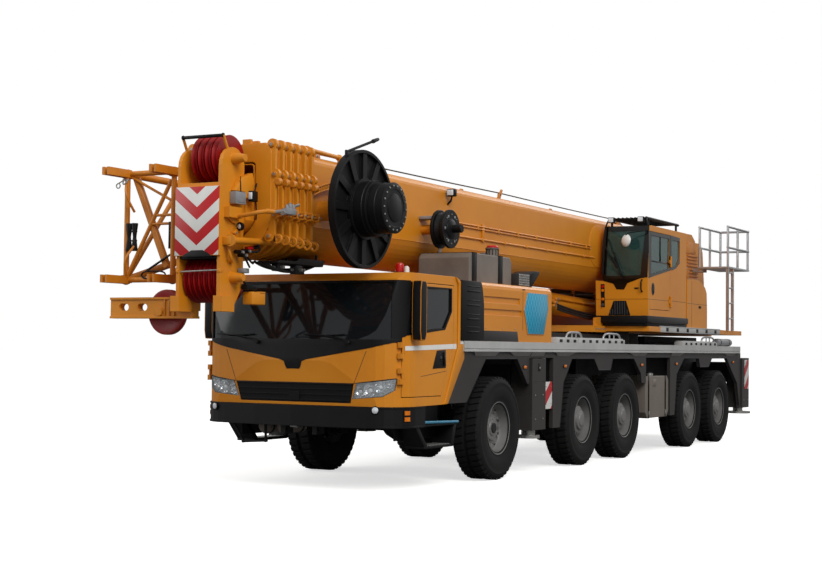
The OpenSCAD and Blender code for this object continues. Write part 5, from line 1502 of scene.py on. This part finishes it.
# sliding pane's rail, oval pull recess with a handle, seam
addBox(doorFrame, (1316, 5592, 2996), (1332, 6450, 3016), 2, 0)
addBox(doorFrame, (1316, 6030, 3010), (1332, 6052, 3412), 2, 0)
before = set(doorFrame.verts)
addTube(doorFrame, (1328, 5680, 2566), (1333, 5680, 2566), 100, 28, None, 1)
oval = [vert for vert in doorFrame.verts if vert not in before]
bmesh.ops.scale(doorFrame, vec=(1, 0.72, 1), space=Matrix.Translation(-at(0, 5680, 2566)), verts=oval)
addBox(doorFrame, (1330, 5664, 2496), (1344, 5696, 2636), 6, 0)
addBox(doorFrame, (1329, 5540, 2400), (1331.5, 6500, 2405), 0, 0)
finishPiece("op_door_trim", doorFrame, (blackLacquer, liningVinyl), "op_cab_door")

# front: cover beside the boom, black recess, lamp column, seams, grab rod
frontTrim = bmesh.new()
addFrontPlate(frontTrim, [(468, 2698), (590, 2690), (590, 2142), (466, 2142)], -28, 30, 0)
addFrontPlate(frontTrim, opTrim["recess"], -2, 6, 1)
for x in range(700, 1020, 40):
    lowZ, highZ = 2160, 2366 if 770 < x < 965 else 2240
    addFrontPlate(frontTrim, [(x, highZ), (x + 12, highZ), (x + 12, lowZ), (x, lowZ)], 4, 6, 2)
addFrontPlate(frontTrim, [(470, 2404), (1329, 2404), (1329, 2399), (470, 2399)], -1, 3, 1)
addFrontPlate(frontTrim, [(556, 2640), (616, 2640), (616, 2280), (556, 2280)], -2, 12, 1)
for z, index in ((2602, 3), (2540, 4), (2402, 4)):
    addTube(frontTrim, (586, opFront(z) - 8, z), (586, opFront(z) - 26, z), 26, 20, 20, index)
addTube(frontTrim, (586, opFront(2310) - 8, 2310), (586, opFront(2310) - 30, 2310), 28, 20, 24, 2)
addHose(frontTrim, [(1240, opFront(2700) - 4, 2700), (1240, opFront(2690) - 52, 2690),
                    (1238, opFront(2600) - 56, 2600),
                    (1236, opFront(2530) - 52, 2530), (1236, opFront(2516) - 4, 2516)], 12, 1)
addBox(frontTrim, (1110, opFront(2570) - 8, 2558), (1180, opFront(2570) + 2, 2582), 3, 1)
addBox(frontTrim, (1329, 6516, 2404), (1331.5, 7328, 2409), 0, 1)
addBox(frontTrim, (1329, 5446, 2398), (1331.5, 5524, 2403), 0, 1)
finishPiece("op_cab_front_trim", frontTrim, (orangeEnamel, blackPlastic, liningVinyl, redLens, amberLens),
            "superstructure")

# two wipers with arms, blades and pivots
opWipers = bmesh.new()
for (px, pz), (tx, tz) in opTrim["wipers"]:
    addTube(opWipers, (px, opFront(pz) - 2, pz), (px, opFront(pz) - 40, pz), 18, 16)
    mid = (px + 0.62 * (tx - px), pz + 0.62 * (tz - pz))
    addTube(opWipers, (px, opFront(pz) - 34, pz), (mid[0], opFront(mid[1]) - 30, mid[1]), 9, 10, 6)
    low, high = (px + 0.24 * (tx - px) - 26, pz + 0.24 * (tz - pz)), (tx - 26, tz)
    addTube(opWipers, (low[0], opFront(low[1]) - 16, low[1]), (high[0], opFront(high[1]) - 16, high[1]), 8, 8)
    addTube(opWipers, (mid[0], opFront(mid[1]) - 30, mid[1]), (mid[0] - 26, opFront(mid[1]) - 16, mid[1]),
            6, 8)
finishPiece("op_cab_wipers", opWipers, blackPlastic, "superstructure")

# round wide-angle mirror on a bent arm
opMirror = bmesh.new()
addHose(opMirror, [(1300, 5486, 3470), (1290, 5400, 3466), (1200, 5330, 3450), (1060, 5300, 3430),
                   (1016, 5296, 3400),
                   (1014, 5296, 3330)], 10, 0)
addLathe(opMirror, [(0, -34), (40, -30), (74, -18), (94, 2), (97, 14), (92, 20)], (1014, 5300, 3312),
         (0.45, 1, -0.1), 40, 1)
addLathe(opMirror, [(0, 22), (60, 19), (92, 15)], (1014, 5300, 3312), (0.45, 1, -0.1), 40, 2)
finishPiece("op_cab_mirror", opMirror, (blackPlastic, markWhite, lampChrome), "superstructure")

# roof guard in black steel, work lamps at its front
guardRail = bmesh.new()
for x in (655, 1260):
    for y in (5650, 7000):
        addTube(guardRail, (x, y, 3556), (x, y, 3694), 19, 14)
    addTube(guardRail, (x, 5550, 3680), (x, 7100, 3680), 23, 16)
for i in range(7):
    addTube(guardRail, (648, 5650 + 225 * i, 3680), (1267, 5650 + 225 * i, 3680), 15, 12)
for i in range(8):
    addTube(guardRail, (716 + 70 * i, 5560, 3692), (716 + 70 * i, 7090, 3692), 7, 8)
addHose(guardRail, [(655, 5560, 3680), (640, 5500, 3640), (618, 5440, 3500), (600, 5400, 3200),
                    (600, 5390, 2800)], 14, 0)
addHose(guardRail, [(1260, 5560, 3680), (1290, 5480, 3640), (1318, 5470, 3560)], 14, 0)
for x in (690, 1180):
    addBox(guardRail, (x - 52, 5500, 3612), (x + 52, 5572, 3700), 10, 0)
    addBox(guardRail, (x - 42, 5494, 3622), (x + 42, 5502, 3690), 4, 1)
finishPiece("op_roof_guard", guardRail, (blackPlastic, frostLens), "superstructure")
print("operator's cab dressed")

# Turntable: dark ring cover and frame boxes under it, their near-black partly painted shade for the shaded
# gap over the deck, bolt row, step and tray beam beside the operator's cab, dark as painted shade over the
# shaded base, ribbed boom foot
slewTrim = {"centre": 6600, "ringRadius": 712, "frameBoxes": [(1640, 5720), (7480, 10340)], "ribs": 7}
# slewing ring cover and gear housings: real parts whose near-black paint also stands as painted shade in the
# gap under the superstructure
ring = bmesh.new()
addLathe(ring, [(702, 0), (slewTrim["ringRadius"], 4), (slewTrim["ringRadius"], 176), (702, 182)],
         (0, slewTrim["centre"], 1698), (0, 0, 1), 96, 0)
addBolts(ring, (0, slewTrim["centre"], 1872), (0, 0, 1), 722, 60, 9, 7, 1)
addTube(ring, (700, 5900, 1700), (700, 5900, 1895), 150, 32, None, 0, 8)
addTube(ring, (-700, 5900, 1700), (-700, 5900, 1895), 150, 32, None, 0, 8)
finishPiece("slew_ring_shade_cover", ring, (chassisGrey, zincSteel), "superstructure")

# dark boxes on the carrier frame: painted shade that fills the shaded gap between the deck and the
# superstructure
shadeBoxes = bmesh.new()
for front, rear in slewTrim["frameBoxes"]:
    addBox(shadeBoxes, (-560, front, 1686), (560, rear, 1846), 10)
    for x in (-600, 600):
        addHose(shadeBoxes, [(x, front + 60, 1712), (x, (front + rear) / 2, 1716), (x, rear - 60, 1712)], 22, 1)
finishPiece("frame_top_shade_boxes", shadeBoxes, (chassisGrey, hoseRubber), "carrier")

base = bmesh.new()
for i in range(9):
    addBolts(base, (620, 5050 + 56 * i, 1930), (1, 0, 0), 0, 1, 12, 9, 2)
# dark plates and boxes round the turntable base under the operator's cab: painted shade over the orange base,
# which lies in shadow there
addBox(base, (470, 5384, 2032), (1340, 5432, 2142), 8, 0)
addBox(base, (600, 5430, 1984), (1300, 5606, 2138), 6, 0)
addPlate(base, [(5400, 2142), (7405, 2142), (7405, 2044), (5720, 2030), (5430, 2044)], "x", 1298, 1346, 8, 1)
addBox(base, (1240, 5470, 1978), (1310, 7420, 2040), 4, 0)
addBox(base, (1318, 6050, 1894), (1340, 9240, 1986), 4, 3)
addBox(base, (1180, 6050, 1978), (1344, 9240, 1992), 3, 3)
for i in range(6):
    addBox(base, (1339, 6300 + 520 * i, 1910), (1342, 6420 + 520 * i, 1970), 2, 0)
# seams and grip on the rounded cover behind the cab
addBox(base, (1309, 7700, 1995), (1311.5, 7705, 2780), 0, 0)
addBox(base, (1309, 7460, 2395), (1311.5, 8560, 2400), 0, 0)
addBox(base, (1308, 8090, 2330), (1318, 8210, 2372), 4, 0)
finishPiece("turntable_trim_and_shade", base, (blackPlastic, panelGrey, zincSteel, deckGrey), "superstructure")

foot = bmesh.new()
for i in range(slewTrim["ribs"]):
    z = 2968 + 62 * i
    for side in (1, -1):
        addBox(foot, (side * 573, 9690, z), (side * 606, 10290, z + 24), 5, 0)
for side in (1, -1):
    addLathe(foot, [(0, 52), (60, 52), (66, 44), (118, 40), (124, 30), (150, 26), (156, 0), (0, 0)],
             (side * 574, 9600, 3000), (side, 0, 0), 40, 0)
    addBolts(foot, (side * 600, 9600, 3000), (side, 0, 0), 136, 10, 13, 12, 1)
    addPlate(foot, [(9430, 3420), (9700, 3600), (9990, 3600), (10140, 3440), (10140, 3400), (9430, 3380)],
             "x", side * 573, side * 592, 4, 0)
finishPiece("boom_foot_trim", foot, (orangeCasting, zincSteel), "superstructure")
print("turntable dressed")

# Luffing cylinder dress: end collar, valve block, pipe and hoses, and a dark wall with hoses on the far side
# plate, a painted shade closing the gap under the boom
luffSet = {"foot": (7300, 2230), "eye": (2700, 2380), "collar": 3860, "block": 2950, "wall": (-556, -538)}
footY, footZ = luffSet["foot"]
reach = math.dist(luffSet["foot"], luffSet["eye"])
alongY, alongZ = (luffSet["eye"][0] - footY) / reach, (luffSet["eye"][1] - footZ) / reach


def onBarrel(x, along, lift):
    # a point beside the barrel: along its axis from the foot, and square to it
    return (x, footY + alongY * along + alongZ * lift, footZ + alongZ * along - alongY * lift)


luffMesh = bmesh.new()
axis = (0, alongY, alongZ)
addLathe(luffMesh, [(168, -70), (186, -62), (190, -50), (190, 34), (180, 40), (168, 40)],
         onBarrel(0, luffSet["collar"], 0), axis, 48, 0)
addBolts(luffMesh, onBarrel(0, luffSet["collar"] + 38, 0), axis, 176, 12, 10, 10, 2)
for near, far in ((-150, 150), (190, 260)):
    for side in (1, -1):
        addTube(luffMesh, onBarrel(side * 172, luffSet["block"] + near, 0),
                onBarrel(side * 206, luffSet["block"] + far, 20), 34, 18, None, 0, 4)
for k, (lift, radius) in enumerate(((46, 26), (-10, 30), (-62, 24))):
    addTube(luffMesh, onBarrel(170, luffSet["block"] - 60 + 46 * k, lift),
            onBarrel(252, luffSet["block"] - 60 + 46 * k, lift), radius, 16, None, 0, 4)
    addTube(luffMesh, onBarrel(246, luffSet["block"] - 60 + 46 * k, lift),
            onBarrel(270, luffSet["block"] - 60 + 46 * k, lift), radius * 0.7, 6, None, 2)
addTube(luffMesh, onBarrel(186, 620, 60), onBarrel(186, luffSet["block"] - 120, 60), 13, 12, None, 0)
for k in range(5):
    addTube(luffMesh, onBarrel(160, 760 + 480 * k, 60), onBarrel(204, 760 + 480 * k, 60), 19, 12, None, 0, 3)
for k in range(3):
    lift = -40 - 34 * k
    addHose(luffMesh, [onBarrel(262, luffSet["block"] - 40, lift),
                       onBarrel(300, luffSet["block"] - 200, lift - 30),
                       onBarrel(290, luffSet["block"] - 700, lift - 60), onBarrel(230, 1400, lift - 70),
                       onBarrel(200, 620, lift - 30), onBarrel(176, 330, lift + 40)], 17, 1)
finishPiece("luff_cylinder_dress", luffMesh, (orangeCasting, hoseRubber, zincSteel), "luff_barrel")

# dark plate on the far side: painted shade that fills the shaded gap between the boom and the turntable; the
# hoses and clamps on it are real
shadeWallMesh = bmesh.new()
addPlate(shadeWallMesh, [(5350, 2010), (5350, 2420), (6050, 2600), (8450, 2790), (8450, 2010)], "x",
         *luffSet["wall"], 6, 0)
for k in range(5):
    z = 2260 + 62 * k
    addHose(shadeWallMesh, [(-524, 5380, z - 40), (-520, 6100, z), (-520, 7300, z + 30), (-524, 8400, z + 60)],
            20, 1)
for y in (5900, 6900, 7900):
    addBox(shadeWallMesh, (-540, y - 24, 2230), (-494, y + 24, 2600), 6, 2)
finishPiece("turntable_shade_wall", shadeWallMesh, (chassisGrey, hoseRubber, orangeCasting), "superstructure")
print("luffing cylinder dressed")

# Camera at the photograph's viewing angle
cameraView = {
    "place": (9.028, axleOne - 16.367, 1.610), "yaw": 28.775, "pitch": -2.2895, "roll": 0.6775,
    "lens": 64.30, "shift": (0.0052, 0.0071),
}
yaw, pitch, roll = (math.radians(cameraView[key]) for key in ("yaw", "pitch", "roll"))
ahead = Vector((-math.sin(yaw) * math.cos(pitch), math.cos(yaw) * math.cos(pitch), -math.sin(pitch)))
level = ahead.cross(Vector((0, 0, 1))).normalized()
upright = level.cross(ahead)
right = level * math.cos(roll) + upright * math.sin(roll)
up = upright * math.cos(roll) - level * math.sin(roll)
camera = bpy.data.objects.new("camera", bpy.data.cameras.new("camera"))
camera.data.sensor_width = 36.0
camera.data.lens = cameraView["lens"]
camera.data.shift_x, camera.data.shift_y = cameraView["shift"]
camera.data.clip_end = 500.0
axes = Matrix((right, up, -ahead)).transposed().to_4x4()
camera.matrix_world = Matrix.Translation(cameraView["place"]) @ axes
scene.collection.objects.link(camera)
scene.camera = camera

# Soft studio light: a broad key from the front left, a weak fill from the right, pale floor
lampSet = {
    "key": {"place": (16.0, -16.0, 17.0), "aim": (0.0, 0.0, 1.5), "size": 14.0, "power": 4000.0},
    "fill": {"place": (-15.0, -14.0, 9.0), "aim": (0.0, 0.0, 1.5), "size": 12.0, "power": 950.0},
    "back": {"place": (4.0, 18.0, 14.0), "aim": (0.0, 0.0, 2.0), "size": 10.0, "power": 900.0},
}
for lampName, values in lampSet.items():
    lamp = bpy.data.lights.new(lampName, "AREA")
    lamp.size = values["size"]
    lamp.energy = values["power"]
    holder = bpy.data.objects.new(lampName, lamp)
    facing = Vector(values["aim"]) - Vector(values["place"])
    holder.location = values["place"]
    holder.rotation_euler = facing.to_track_quat("-Z", "Y").to_euler()
    scene.collection.objects.link(holder)

world = bpy.data.worlds.new("studio")
world.use_nodes = True
scene.world = world
skyTree = world.node_tree
backdrop = skyTree.nodes["Background"]
rays = addNode(skyTree, "ShaderNodeLightPath")
seen = addNode(skyTree, "ShaderNodeMath", {"operation": "MAXIMUM"},
               {0: rays.outputs["Is Camera Ray"], 1: rays.outputs["Is Transmission Ray"]})
glow = addNode(skyTree, "ShaderNodeMapRange", {"To Min": 0.48, "To Max": 1.0}, {"Value": seen.outputs[0]})
backdrop.inputs["Color"].default_value = (1.0, 1.0, 1.0, 1.0)
skyTree.links.new(glow.outputs["Result"], backdrop.inputs["Strength"])

# Pale floor: white card that keeps the contact shadow
floorMesh = bmesh.new()
bmesh.ops.create_grid(floorMesh, x_segments=1, y_segments=1, size=200.0)
floorData = bpy.data.meshes.new("floor")
floorMesh.to_mesh(floorData)
floorMesh.free()
floor = bpy.data.objects.new("floor", floorData)
scene.collection.objects.link(floor)
card, cardTree, cardShader, cardPlace = startMaterial("white_floor_card", Roughness=0.9,
                                                      Specular_IOR_Level=0.1)
speck = addNode(cardTree, "ShaderNodeTexNoise", {"Scale": 0.4, "Detail": 3.0}, {"Vector": cardPlace})
cardTone = addNode(cardTree, "ShaderNodeValToRGB", links={"Fac": speck.outputs["Fac"]})
cardTone.color_ramp.elements[0].color = linear("#ecebe8")
cardTone.color_ramp.elements[1].color = linear("#f1f0ee")
cardRays = addNode(cardTree, "ShaderNodeLightPath")
# white to the camera, a mid grey to bounced light so that the underside stays dark
cardMix = addNode(cardTree, "ShaderNodeMix", {"data_type": "RGBA"},
                  {"Factor": cardRays.outputs["Is Camera Ray"]})
cardMix.inputs["A"].default_value = (0.16, 0.16, 0.16, 1.0)
cardTree.links.new(cardTone.outputs["Color"], cardMix.inputs["B"])
cardTree.links.new(cardMix.outputs["Result"], cardShader.inputs["Base Color"])
lift = addNode(cardTree, "ShaderNodeMath", {"operation": "MULTIPLY", 1: 0.62},
               {0: cardRays.outputs["Is Camera Ray"]})
cardShader.inputs["Emission Color"].default_value = (1.0, 1.0, 1.0, 1.0)
cardTree.links.new(lift.outputs[0], cardShader.inputs["Emission Strength"])
floorData.materials.append(card)

scene.view_settings.view_transform = "Standard"
